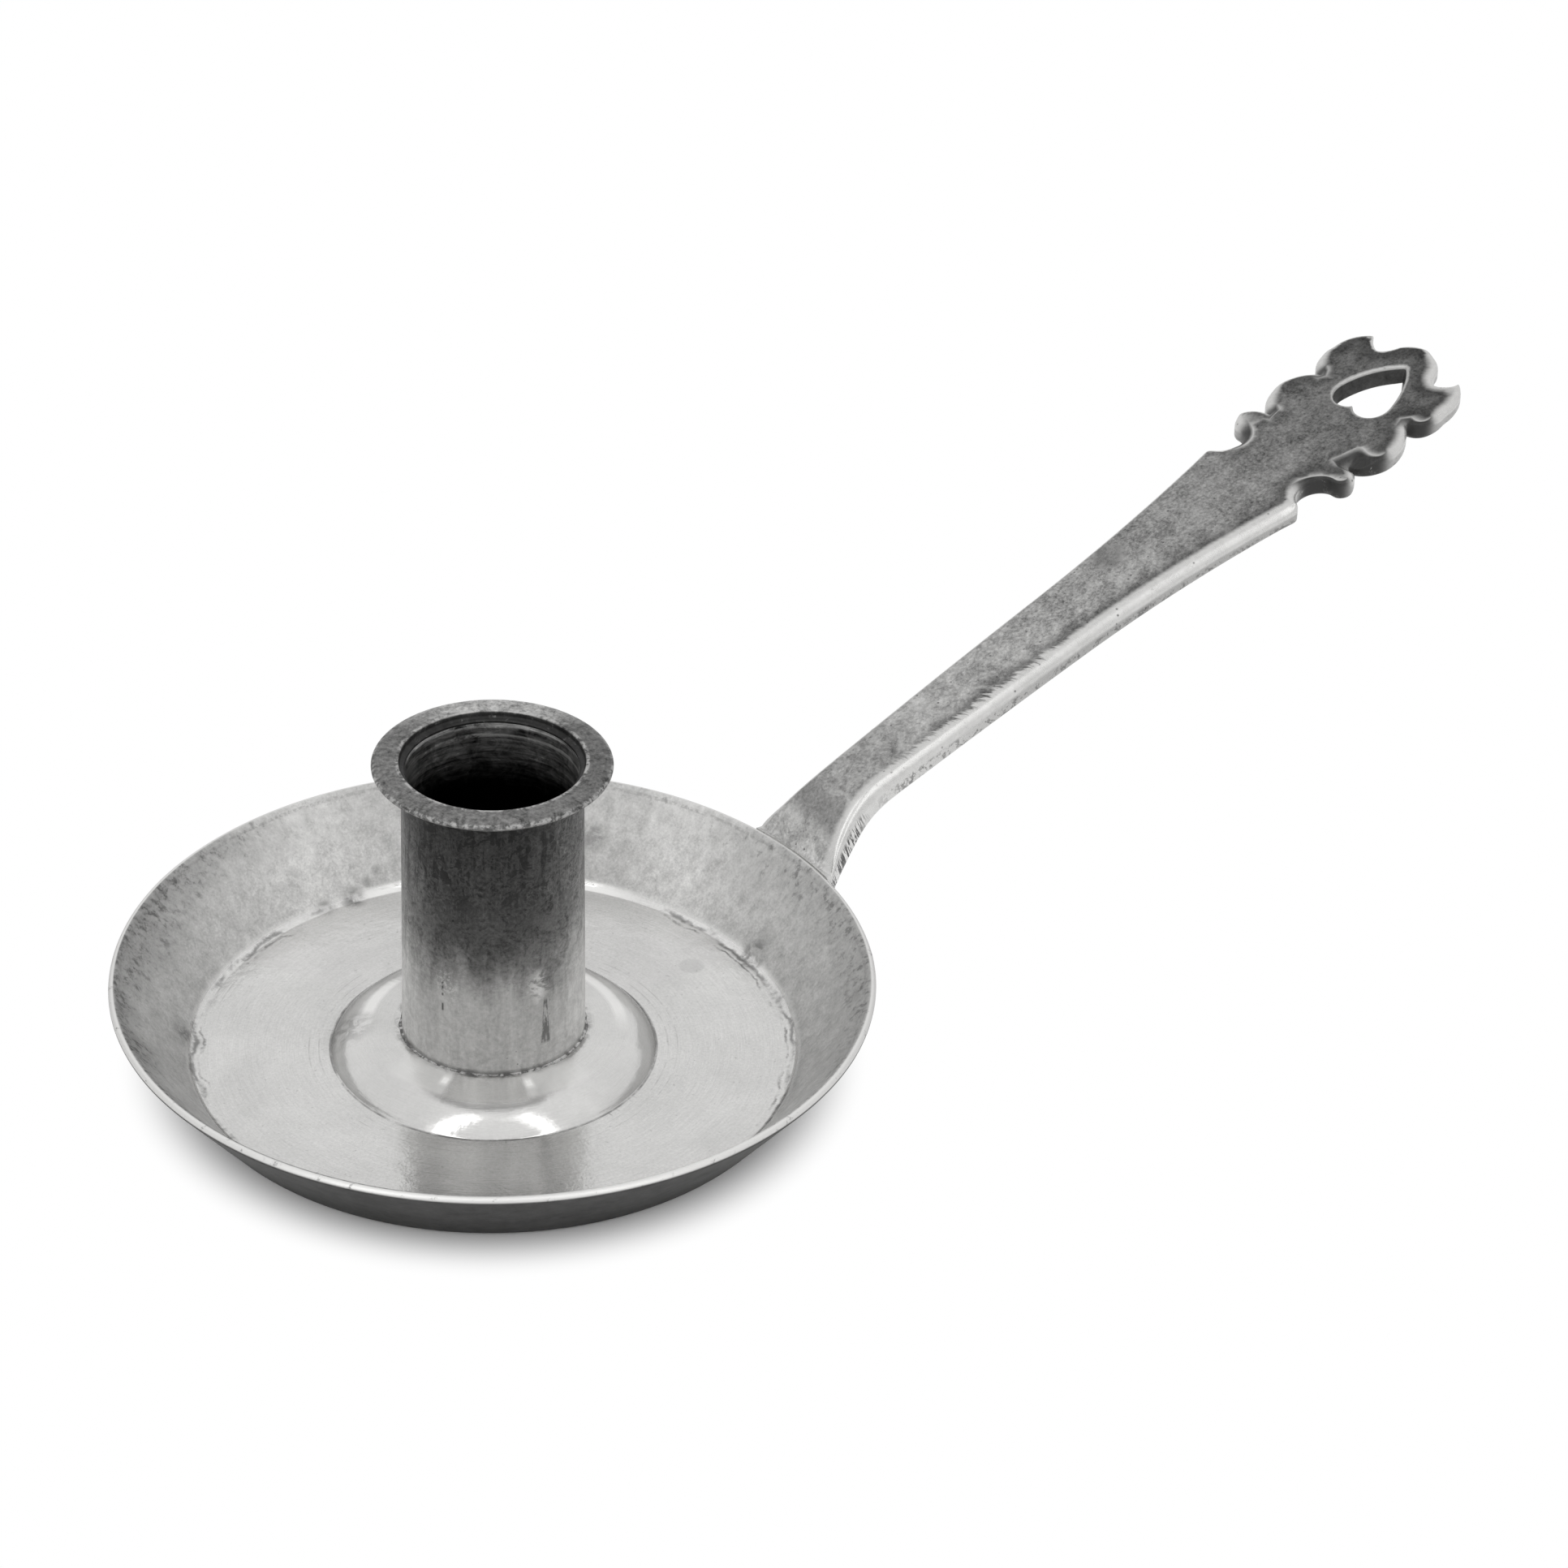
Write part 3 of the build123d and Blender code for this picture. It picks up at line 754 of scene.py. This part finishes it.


# patina that darkens towards the tip, bright bevels from wear and painted highlight, painted shade on the
# finial's near walls that face the root, and a wall with filing and grime: the masks come from x and from the
# values that makeHandle leaves on the mesh
def handleFinish(tone):
    paint = Paint("handleSilver")
    where = paint.place()
    x, y, z = paint.parts(where)
    labels = ("edgeGap", "heartGap", "depth", "notchAndShade", "wearAndHighlight", "wall", "slope", "lip")
    gap, heartGap, depth, notchAndShade, wearAndHighlight, wall, slope, lip = map(paint.attribute, labels)
    mottle = paint.noise(where, 0.42, 6.0, 0.72, 0.7)
    grain = paint.noise(where, 2.1, 4.0, 0.7)
    clouds = paint.noise(where, 0.16, 4.0, 0.6, 0.6)
    teeth = paint.noise(paint.vector(x * 2.0 + y * 1.1, y * 0.35, 0.0), 1.0, 3.0, 0.7)
    blotch = step(mottle, 0.34, 0.66)
    pits = step(paint.cells(where, 0.7), 0.17, 0.05) * step(mottle, 0.46, 0.58)
    nearSide = step(y, 1.5, -3.5)  # the side that the thumb darkens
    finial = step(x, 128.0, 134.0)
    # top face
    patina = blend(tone["root"], tone["shank"], step(x, 70.0, 122.0))
    patina = blend(patina, tone["tip"], step(x, 112.0, 166.0))
    grime = step(vary(gap, (mottle, 2.5)), 4.8, 1.6) * nearSide * step(x, 62.0, 76.0)
    grime = most(grime, step(vary(gap, (mottle, 2.0)), 3.4, 1.2) * finial * 0.7)
    patina = patina * (1 - grime * 0.58) * (1 + step(x, 54.0, 51.0) * 0.28)
    crescent = step(abs(vary(x - 54.6 - y * 0.10, (mottle, 3.0))), 2.6, 0.6)
    crescent = crescent * step(mottle + clouds, 0.84, 1.06)
    patina = blend(patina, tone["crescent"], crescent * 0.6)
    scuff = paint.spot(where, (107.2, 3.9, 37.5), 0.8, 3.6) * step(grain, 0.46, 0.56)
    patina = blend(patina, tone["scuff"], scuff * 0.7)
    coarse = 1.5 + step(x, 72.0, 100.0)
    patina = patina * vary(1, (blotch, 0.55), (clouds, 1.3), (grain, coarse))
    patina = patina * (1 - step(x, 74.0, 66.0) * 0.07)
    # pale bevels: wear, ragged where the thumb rubs, and painted highlights on the finial's edges turned one
    # way;
    # notches and painted shade darken the slopes
    bright = tone["bright"] * vary(1, (mottle, 0.4), (grain, 0.25))
    toothed = step(x, 62.0, 66.0) * step(x, 98.0, 86.0) * nearSide
    ragged = vary(gap, (mottle, 0.6), (teeth, 0.5 + toothed * 4.4)) / wearAndHighlight
    wornAndLit = step((ragged - 0.95) / (1 + finial), 0.30, -0.25) * (1 - notchAndShade)
    wornAndLit = most(wornAndLit, lip * notchAndShade * 0.85)
    heartWorn = step(vary(heartGap, (mottle, 0.9)), 0.60, 0.15)
    shade = blend(patina, bright, most(wornAndLit, heartWorn * 0.75))
    shade = blend(shade, tone["notchAndShade"] * vary(1, (mottle, 2.0)), slope * notchAndShade * (1 - wornAndLit))
    # wall, dark in notches and where shade is painted, heart and underside
    wallShade = blend(tone["rootWall"], tone["shankWall"], step(x, 58.0, 96.0))
    wallShade = wallShade * vary(1, (mottle, 0.7), (grain, 0.4))
    # dark walls in notches, and painted shade on the finial's near walls that face the root
    inNotchAndShade = tone["notchAndShadeWall"] + step(mottle + grain * 0.5, 0.84, 0.98) * 0.25
    wallShade = blend(wallShade, inNotchAndShade, notchAndShade)
    files = paint.noise(paint.vector(x * 3.0 + z * 1.6, y * 0.4, z * 0.4), 1.0, 3.0, 0.6)
    filed = step(x, 59.5, 56.0) * step(files, 0.47, 0.54)
    wallShade = blend(wallShade, tone["filed"], filed * 0.95)
    lowGrime = step(depth, 1.5, 2.4) * step(mottle + grain * 0.7, 0.82, 0.96)
    lowGrime = lowGrime * step(x, 56.0, 66.0)
    wallShade = blend(wallShade, tone["lowGrime"], lowGrime * 0.75)
    shade = blend(shade, wallShade, wall)
    inHeart = step(heartGap, 0.5, 0.2) * step(depth, 0.35, 0.55)
    shade = blend(shade, tone["heart"] * vary(1, (mottle, 2.4)), inHeart)
    below = step(depth, 2.6, 2.9) * step(gap, 0.6, 0.9)
    shade = blend(shade, tone["under"] * vary(1, (mottle, 1.2)), below)
    shade = most(blend(shade, tone["pits"], pits * 0.75), tone["darkest"])
    rough = vary(blend(tone["rough"], tone["wornRough"], wornAndLit), (mottle, 0.16))
    height = mottle * 1.2 + grain * 0.7 + clouds * 0.8 - pits * 1.2
    height = height * (1 - step(gap, 3.4, 2.0) * 0.9)
    return paint.metal(shade, rough, tone["metallic"], height, tone["bump"])


# side view: heights of the top and the underside over x, as lines of arcs
def handleSides(shape):
    neck = np.array([rimOuter + shape["neckReach"], panShape["rimHeight"] + shape["neckRise"]])
    root = np.array([rimOuter, panShape["rimHeight"] - shape["rootDrop"]])
    tip = np.array([shape["reach"], shape["tipHeight"]])
    crown = (neck + tip) / 2 + (0, shape["bow"])
    top = arcThrough(neck, crown, tip, 220)
    along = unit(top[1] - top[0])
    swan = tangentArc(neck, -along, root, 60)[::-1]
    topLine = np.vstack([[(0.0, root[1])], swan, top[1:], [tip + (top[-1] - top[-2]) * 4]])
    underNeck = neck + along * shape["elbowLead"] - (0, shape["neckThickness"])
    under = arcThrough(underNeck, crown - (0, shape["shankThickness"]), tip - (0, shape["tipThickness"]), 220)
    elbow = np.array([rimOuter + shape["elbowReach"], panShape["rimHeight"] + shape["elbowRise"]])
    elbowArc = tangentArc(underNeck, under[0] - under[1], elbow, 40)
    heelArc = tangentArc(elbow, elbowArc[-1] - elbowArc[-2], shape["heel"], 60)
    beyond = under[-1] + (under[-1] - under[-2]) * 4
    underLine = np.vstack([heelArc[::-1], elbowArc[::-1][1:], under[1:], [beyond]])
    return topLine, underLine


# half of the plan: flare, straight flank, swell, then the fret's arcs; mirrored, evened and softened
def handleOutline(shape):
    root, waist = (rimOuter, shape["rootHalf"]), (rimOuter + shape["neckReach"], shape["waistHalf"])
    shoulder = shape["shoulder"]
    run = shoulder[0] - waist[0]
    straight = (waist[0] + run * shape["straightShare"], shape["shankHalf"])
    flankWay = np.subtract(straight, waist)
    flare = tangentArc(waist, -flankWay, root, 40)[::-1]
    swell = tangentArc(straight, flankWay, shoulder, 60)
    arcs, start = [], shoulder
    for middle, end in shape["frets"]:
        arcs.append(arcThrough(start, middle, end, 30)[1:])
        start = end
    lobe = tangentArc((shape["reach"], 0.0), (0, 1), start, 30)[::-1]
    rootEnd = [(shape["rootStart"], 0.0), (shape["rootStart"], root[1])]
    half = np.vstack([rootEnd, flare, swell, *arcs, lobe[1:]])
    loop = np.vstack([half, half[-2:0:-1] * (1, -1)])[::-1]
    loop = evenLoop(loop, shape["step"])
    soft, rounder = (soften(loop, shape[size] / shape["step"]) for size in ("soft", "noseSoft"))
    noses = np.array([shoulder, shape["frets"][1][1]])
    gaps = np.hypot(loop[:, None, 0] - noses[:, 0], np.abs(loop[:, None, 1]) - noses[:, 1]).min(1)
    loop = soft + (rounder - soft) * softStep(gaps, 2.6, 0.8)[:, None]
    return finialShift(loop, shape)


# closed line smoothed by a bell curve over its neighbours
def soften(loop, spread):
    reach = int(3 * spread) + 1
    offsets = np.arange(-reach, reach + 1)
    weights = np.exp(-0.5 * (offsets / spread) ** 2)
    return sum(w * np.roll(loop, k, 0) for k, w in zip(offsets, weights)) / weights.sum()


# the outer half of the finial leans a little to one side
def finialShift(points, shape):
    lean = softStep(points[:, 0], *shape["leanFrom"])
    y = points[:, 1] * (1 - (1 - shape["narrow"]) * lean) + shape["aside"] * lean
    return np.column_stack([points[:, 0], y])


# half a heart from two arcs, the lobe and the side down to the point; mirrored, evened and softened
def heartLoop(shape):
    first, last = shape["heartEnds"]
    span, half = last - first, shape["heartHalf"]
    lobe = arcThrough((first + shape["heartCusp"], 0), (first, half * 0.52), (first + span * 0.30, half), 40)
    point = arcThrough(lobe[-1], (first + span * 0.70, half * 0.64), (last, 0), 40)
    side = np.vstack([lobe, point[1:]])
    loop = np.vstack([side, side[-2:0:-1] * (1, -1)])[::-1]
    return finialShift(soften(evenLoop(loop, shape["heartStep"]), 1.0), shape)


# inward normals of a loop that runs counter-clockwise, and how far each point may move in
def inwardRoom(loop):
    way = np.roll(loop, -1, 0) - np.roll(loop, 1, 0)
    normal = np.column_stack([-way[:, 1], way[:, 0]]) / np.hypot(*way.T)[:, None]
    gaps = loop[None] - loop[:, None]
    toward = np.einsum("ijk,ik->ij", gaps, normal)
    reach = np.where(toward > 1e-6, (gaps**2).sum(-1) / np.maximum(2 * toward, 1e-9), 1e3)
    return normal, reach.min(1)


# a point is inside when a line to its right crosses the loop an odd number of times
def insideLoop(points, loop):
    x, y = points[:, None, 0], points[:, None, 1]
    ax, ay = loop.T
    bx, by = np.roll(loop, -1, 0).T
    spans = (ay > y) != (by > y)
    cross = ax + (y - ay) * (bx - ax) / np.where(by == ay, 1e-12, by - ay)
    return (spans & (x < cross)).sum(1) % 2 == 1


# distance from each point to the closest point of a loop
def nearest(points, loop):
    return np.sqrt(((points[:, None] - loop[None]) ** 2).sum(-1).min(1))


# flat fill between the outer loop and the heart, with a grid of points inside
def fillPlan(outer, heart, spacing):
    low, high = outer.min(0), outer.max(0)
    gx, gy = np.meshgrid(np.arange(low[0], high[0], spacing), np.arange(low[1], high[1], spacing))
    spots = np.column_stack([gx.ravel(), gy.ravel()])
    spots = spots[insideLoop(spots, outer) & ~insideLoop(spots, heart)]
    spots = spots[(nearest(spots, outer) > spacing * 0.5) & (nearest(spots, heart) > spacing * 0.4)]
    points = np.vstack([outer, heart, spots])
    n, m = len(outer), len(heart)
    ring = [(k, (k + 1) % n) for k in range(n)] + [(n + k, n + (k + 1) % m) for k in range(m)]
    tris = np.array(delaunay_2d_cdt(points.tolist(), ring, [], 0, 1e-6)[2])
    middles = points[tris].mean(1)
    return spots, tris[insideLoop(middles, outer) & ~insideLoop(middles, heart)]


# a plan gets its heights: share 0 is the top and 1 the underside, straight between them; near the root each
# height is stretched along x until it meets the pan's outer wall
def handleLift(shape):
    topLine, underLine = handleSides(shape)
    start, passes = shape["rootStart"], 25

    def thickAt(x):
        return np.interp(x, *topLine.T) - np.interp(x, *underLine.T)

    def heightAt(x, share):
        return np.interp(x, *topLine.T) - share * thickAt(x)

    def lift(plan, share):
        planX, y = plan.T
        x, t = planX, (planX - start) / (rimOuter - start)
        for attempt in range(passes):
            reach = outerRadius(heightAt(x, share)) - shape["sink"]
            meet = np.sqrt(np.maximum(reach**2 - y**2, 1.0))
            x = np.where(t < 1, meet + t * (rimOuter - meet), planX)
        return np.column_stack([x, y, heightAt(x, share)])

    return lift, thickAt


liftHandle, handleThick = handleLift(handleShape)


# rings of the plan, moved inwards and down by quarter turns, make bevel, wall and under edge; the heart's are
# moved the same way, and the top and the underside are filled flat
def makeHandle(shape, silver):
    outline, heart = handleOutline(shape), heartLoop(shape)
    normal, room = inwardRoom(outline)
    x, y = outline.T
    thick = handleThick(x)

    def near(place, spread):  # bell curve round a place, on both sides of the handle
        return np.exp(-((x - place[0]) ** 2 + (np.abs(y) - place[1]) ** 2) / (2 * spread**2))

    ragged = handWaves(fullTurn(len(x)), (31, 57, 83, 121), 13) * 0.04
    nearHalf, inFinial = softStep(y, 1.0, -1.0), softStep(x, *shape["finialFrom"])
    thumb = softStep(y, 1.0, -2.0) * (1 - inFinial)
    facing = soften(-normal[:, 0], 2.0)  # towards the tip where it is positive
    # pale edges: wear, and painted highlight on edges facing the tip on the near side and facing the root on
    # the far side
    paleEdge = nearHalf * softStep(facing, -0.45, 0.10) + (1 - nearHalf) * softStep(facing, 0.25, -0.30)
    rootFade = 0.3 + 0.7 * softStep(x, rimOuter, rimOuter + 3.0)
    scroll, scoop = (shape["frets"][k][1] for k in (2, 4))  # two inner corners of the fret
    groove = nearHalf * near(shape["groove"], 1.4)
    bevel = shape["bevel"] * (1 - inFinial * (0.70 - 0.75 * paleEdge))
    bevel = (bevel + shape["thumbBevel"] * thumb) * (1 + ragged) + shape["scoopBevel"] * near(scoop, 1.0)
    bevel = bevel + shape["scrollBevel"] * near(scroll, 1.0) + shape["grooveBevel"] * groove
    bevel = soften(np.minimum(bevel, room * 0.8), 3.0)
    bevel = np.minimum(bevel, room * 0.85) * rootFade
    deep = shape["bevelDepth"] * (1 - inFinial * (0.70 - 0.85 * paleEdge))
    deep = deep + shape["thumbDepth"] * thumb + shape["grooveDepth"] * groove
    deep = np.minimum(deep, thick * 0.75) * rootFade
    under = soften(np.minimum(np.minimum(shape["under"], room * 0.6), thick - deep - 0.05), 3.0)
    under = np.minimum(under, room * 0.8)
    flat = np.clip(1.6 * groove, 0, 1)  # the groove is cut flat, the rest is rounded
    insets, drops = [], []
    for part in np.linspace(0, 1, 8):
        sine, cosine = math.sin(part * np.pi / 2), math.cos(part * np.pi / 2)
        insets.append(bevel * (1 - sine + flat * (sine - part)))
        drops.append(deep * (1 - cosine + flat * (part - 1 + cosine)))
    insets += [0 * bevel] * 2
    drops += [deep + (thick - under - deep) * part for part in (1 / 3, 2 / 3)]
    for t in np.linspace(0, np.pi / 2, 6):
        insets.append(under * (1 - math.cos(t)))
        drops.append(thick - under * (1 - math.sin(t)))
    plans = [outline + normal * inset[:, None] for inset in insets]
    rings = [liftHandle(plan, drop / thick) for plan, drop in zip(plans, drops)]

    heartNormal, heartRoom = (values[::-1] for values in inwardRoom(heart[::-1]))
    heartThick = handleThick(heart[:, 0])
    size = np.minimum(shape["heartBevel"], heartRoom * 0.7)
    taper = soften(np.minimum(shape["heartTaper"], inwardRoom(heart)[1] * 0.6), 2.0)
    heartTurn = np.linspace(0, np.pi / 2, 5)
    heartInsets = [size * (1 - math.sin(t)) for t in heartTurn] + [-taper / 2]
    heartInsets += [size * (1 - math.cos(t)) - taper for t in heartTurn]
    heartDrops = [size * (1 - math.cos(t)) for t in heartTurn] + [heartThick / 2]
    heartDrops += [heartThick - size * (1 - math.sin(t)) for t in heartTurn]
    heartPlans = [heart + heartNormal * inset[:, None] for inset in heartInsets]
    heartRings = [liftHandle(plan, drop / heartThick) for plan, drop in zip(heartPlans, heartDrops)]

    topSpots, topTris = fillPlan(plans[0], heartPlans[0], shape["topSpacing"])
    lowSpots, lowTris = fillPlan(plans[-1], heartPlans[-1], shape["lowSpacing"])
    points = np.vstack([*rings, *heartRings, liftHandle(topSpots, 0.0), liftHandle(lowSpots, 1.0)])
    n, m, ringCount, heartCount = len(outline), len(heart), len(rings), len(heartRings)
    heartStart = n * ringCount
    topStart = heartStart + m * heartCount
    lowStart = topStart + len(topSpots)

    def capFaces(tris, outerStart, innerStart, spotStart):
        spots = tris - n - m + spotStart
        return np.select([tris < n, tris < n + m], [tris + outerStart, tris - n + innerStart], spots)

    sides = gridQuads(ringCount, n, False, True)
    hole = gridQuads(heartCount, m, False, True)[:, ::-1] + heartStart
    topFaces = capFaces(topTris, 0, heartStart, topStart)
    lowFaces = capFaces(lowTris, heartStart - n, topStart - m, lowStart)[:, ::-1]

    # values for the finish: gaps to the edges, depth below the top, dark notches with painted shade, and wear
    # with painted highlights
    heading = np.unwrap(np.arctan2(*(np.roll(outline, -1, 0) - outline).T[::-1]))
    bendRate = soften(np.gradient(heading) / shape["step"], 2.5)
    hollowAndShade = softStep(-bendRate, 0.06, 0.30) * inFinial * softStep(facing, 0.35, 0.05)
    # painted shade: the finial's near-side walls and edges that face the root are painted dark
    shaded = nearHalf * softStep(facing, -0.10, -0.35) * inFinial
    hollowAndShade = soften(np.maximum(hollowAndShade, shaded), 2.0)
    wearAndHighlight = soften(0.50 + 1.25 * thumb + inFinial * (paleEdge - 0.15), 2.0)
    spotSets = (topSpots, lowSpots)
    closest = [((spots[:, None] - outline[None]) ** 2).sum(-1).argmin(1) for spots in (heart, *spotSets)]
    outerGaps = [nearest(spots, outline) for spots in spotSets]
    heartGaps = [nearest(spots, heart) for spots in spotSets]
    none, full, rest = np.zeros(n), np.ones(n), np.zeros(len(points) - heartStart)
    extras = {
        "edgeGap": [*insets, *[nearest(heart, outline)] * heartCount, *outerGaps],
        "heartGap": [*[nearest(outline, heart)] * ringCount, *heartInsets, *heartGaps],
        "depth": [*drops, *heartDrops, np.zeros(len(topSpots)), np.full(len(lowSpots), 3.0)],
        "notchAndShade": [hollowAndShade] * ringCount + [rest],
        "wearAndHighlight": [wearAndHighlight] * ringCount + [wearAndHighlight[closest[0]]] * heartCount + [wearAndHighlight[spots] for spots in closest[1:]],
        "wall": [*(np.clip((drop - deep) / 0.3, 0, 1) for drop in drops), rest],
        "slope": [none] + [full] * (ringCount - 1) + [rest],
        "lip": [full, full * 0.6] + [none] * (ringCount - 2) + [rest],
    }
    extras = {label: np.concatenate(values) for label, values in extras.items()}
    handle = makePiece("handle", points, [sides, hole, topFaces, lowFaces], silver, extras=extras)
    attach(handle, "root")
    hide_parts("handle")


makeHandle(handleShape, handleFinish(handleTones))

# solder round the handle's root
beadShape = {
    "radius": 0.55, "uneven": 0.35, "sides": 14, "step": 0.22, "top": 0.06, "taper": 1.2, "sideSteps": 40,
    "crossSteps": 60,
}


# a round bead of changing thickness carried along the joint, down one side, under and up again
def makeRootSolder(shape):
    half, sideSteps, sides = handleShape["rootHalf"], shape["sideSteps"], shape["sides"]
    down = np.linspace(shape["top"], 1.0, sideSteps)
    across = np.linspace(half, -half, shape["crossSteps"])[1:-1]
    y = np.concatenate([np.full(sideSteps, half), across, np.full(sideSteps, -half)])
    share = np.concatenate([down, np.ones(len(across)), down[::-1]])
    path = liftHandle(np.column_stack([np.full(len(y), handleShape["rootStart"]), y]), share)
    along = np.r_[0, np.cumsum(np.linalg.norm(np.diff(path, axis=0), axis=1))]
    stops = np.linspace(0, along[-1], int(along[-1] / shape["step"]))
    path = np.column_stack([np.interp(stops, along, axis) for axis in path.T])
    t = stops / stops[-1] * 2 * np.pi
    radius = shape["radius"] * (1 + shape["uneven"] * handWaves(t, (3, 5, 9, 14, 22), 8))
    toEnd = np.minimum(stops, stops[-1] - stops)
    radius = radius * np.sqrt(np.clip(toEnd / shape["taper"], 0.01, 1))
    way = np.gradient(path, axis=0)
    way /= np.linalg.norm(way, axis=1)[:, None]
    outward = np.column_stack([path[:, :2], -wallSlope * path[:, 0]])
    outward -= (outward * way).sum(1)[:, None] * way
    outward /= np.linalg.norm(outward, axis=1)[:, None]
    aside = np.cross(way, outward)
    a = fullTurn(sides)[None, :, None]
    grid = path[:, None] + radius[:, None, None] * (np.cos(a) * outward[:, None] + np.sin(a) * aside[:, None])
    ends = np.arange(sides)
    caps = [np.array([ends]), np.array([ends[::-1] + (len(path) - 1) * sides])]
    faces = [gridQuads(len(path), sides, False, True), *caps]
    bead = makePiece("rootSolder", grid.reshape(-1, 3), faces, solderSilver)
    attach(bead, "root")
    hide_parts("handle_solder")


makeRootSolder(beadShape)
print("object made")

# stage, light and camera
stageShape = {"half": 1500.0, "cells": 12, "shade": 0.95, "rough": 0.9, "whiteFrom": (39.5, 49.5)}


# flat grid; what the camera or a mirror sees of it fades to plain white away from the pan
def makeFloor(shape):
    line = np.linspace(-shape["half"], shape["half"], shape["cells"])
    gx, gy = np.meshgrid(line, line, indexing="ij")
    points = np.stack([gx, gy, 0 * gx], -1).reshape(-1, 3)
    paint = Paint("paleFloor")
    where = paint.place()
    shade = vary(shape["shade"], (paint.noise(where, 0.02, 3.0, 0.5), 0.01))
    values = {"Base Color": paint.grey(shade), "Roughness": shape["rough"]}
    lit = paint.node("ShaderNodeBsdfPrincipled", None, values)
    white = paint.node("ShaderNodeEmission", None, {"Color": (1, 1, 1, 1), "Strength": 1.0})
    seen = paint.node("ShaderNodeLightPath", output="Is Camera Ray")
    glossy = paint.node("ShaderNodeLightPath", output="Is Glossy Ray")
    through = paint.node("ShaderNodeLightPath", output="Is Transmission Ray")
    out = paint.node("ShaderNodeVectorMath", {"operation": "LENGTH"}, {0: where}, "Value")
    amount = most(most(seen, glossy), through) * step(out, *shape["whiteFrom"])
    both = paint.node("ShaderNodeMixShader", None, {0: amount, 1: lit, 2: white})
    paint.node("ShaderNodeOutputMaterial", None, {"Surface": both})
    faces = gridQuads(shape["cells"], shape["cells"])[:, ::-1]
    floor = makePiece("floor", points, [faces], paint.material, False)


makeFloor(stageShape)

lampSet = {
    "left": {"place": (-608, -186, 640), "size": (170, 1150), "power": 1.45},
    "right": {"place": (33, -635, 640), "size": (130, 1150), "power": 1.05},
}
skyLevel = 0.92


# even white light all round, and two tall lamps that face the pan: a lamp's axes are its side, its upright
# and the way back from what it looks at
def makeLight():
    world = bpy.data.worlds.new("studio")
    world.use_nodes = True
    sky = world.node_tree.nodes["Background"]
    sky.inputs["Color"].default_value = (1, 1, 1, 1)
    path = world.node_tree.nodes.new("ShaderNodeLightPath")
    level = world.node_tree.nodes.new("ShaderNodeMapRange")  # white to the camera, so no horizon shows
    level.inputs["To Min"].default_value = skyLevel
    world.node_tree.links.new(path.outputs["Is Camera Ray"], level.inputs["Value"])
    world.node_tree.links.new(level.outputs["Result"], sky.inputs["Strength"])
    bpy.context.scene.world = world
    for name, values in lampSet.items():
        lamp = bpy.data.lights.new(name, "AREA")
        lamp.shape, lamp.energy = "RECTANGLE", values["power"]
        lamp.size, lamp.size_y = (side * toMetres for side in values["size"])
        holder = bpy.data.objects.new(name, lamp)
        bpy.context.scene.collection.objects.link(holder)
        place = np.array(values["place"]) * toMetres
        aim = unit(-place)
        side = unit(np.cross(aim, (0, 0, 1)))
        over = np.cross(side, aim)
        turn = np.eye(4)
        turn[:3, :3] = np.column_stack([side, over, -aim])
        turn[:3, 3] = place
        holder.matrix_world = Matrix(turn.tolist())


makeLight()

cameraView = {
    "focal": 7000.0, "pixels": 1932.0, "sensor": 36.0, "distance": 748.846769, "elevation": 0.60878395,
    "roll": 0.00714134, "yaw": -0.05133370, "pitch": 0.04682872, "handleTurn": math.radians(35.3),
}


# the camera looks at the pan's centre, then turns by yaw, pitch and roll about its own axes
def makeCamera(view):
    def turned(vector, axis, angle):
        return (vector * math.cos(angle) + np.cross(axis, vector) * math.sin(angle)
                + axis * (axis @ vector) * (1 - math.cos(angle)))

    place = view["distance"] * np.array([0, -math.cos(view["elevation"]), math.sin(view["elevation"])])
    aim = unit(-place)
    right = np.array([1.0, 0.0, 0.0])
    over = np.cross(right, aim)
    aim, right = turned(aim, over, view["yaw"]), turned(right, over, view["yaw"])
    aim = turned(aim, right, view["pitch"])
    over = np.cross(right, aim)
    right, over = turned(right, aim, view["roll"]), turned(over, aim, view["roll"])
    axes = np.column_stack([right, over, -aim, place * toMetres])
    spin = np.array([[math.cos(view["handleTurn"]), math.sin(view["handleTurn"]), 0],
                     [-math.sin(view["handleTurn"]), math.cos(view["handleTurn"]), 0], [0, 0, 1]])
    lens = bpy.data.cameras.new("view")
    lens.sensor_width = view["sensor"]
    lens.lens = view["focal"] / view["pixels"] * view["sensor"]
    lens.clip_start, lens.clip_end = 0.01, 20.0
    camera = bpy.data.objects.new("view", lens)
    bpy.context.scene.collection.objects.link(camera)
    camera.matrix_world = Matrix(np.vstack([spin @ axes, [0, 0, 0, 1]]).tolist())
    bpy.context.scene.camera = camera


makeCamera(cameraView)
bpy.context.scene.view_settings.view_transform = "Standard"
print("light and camera set")
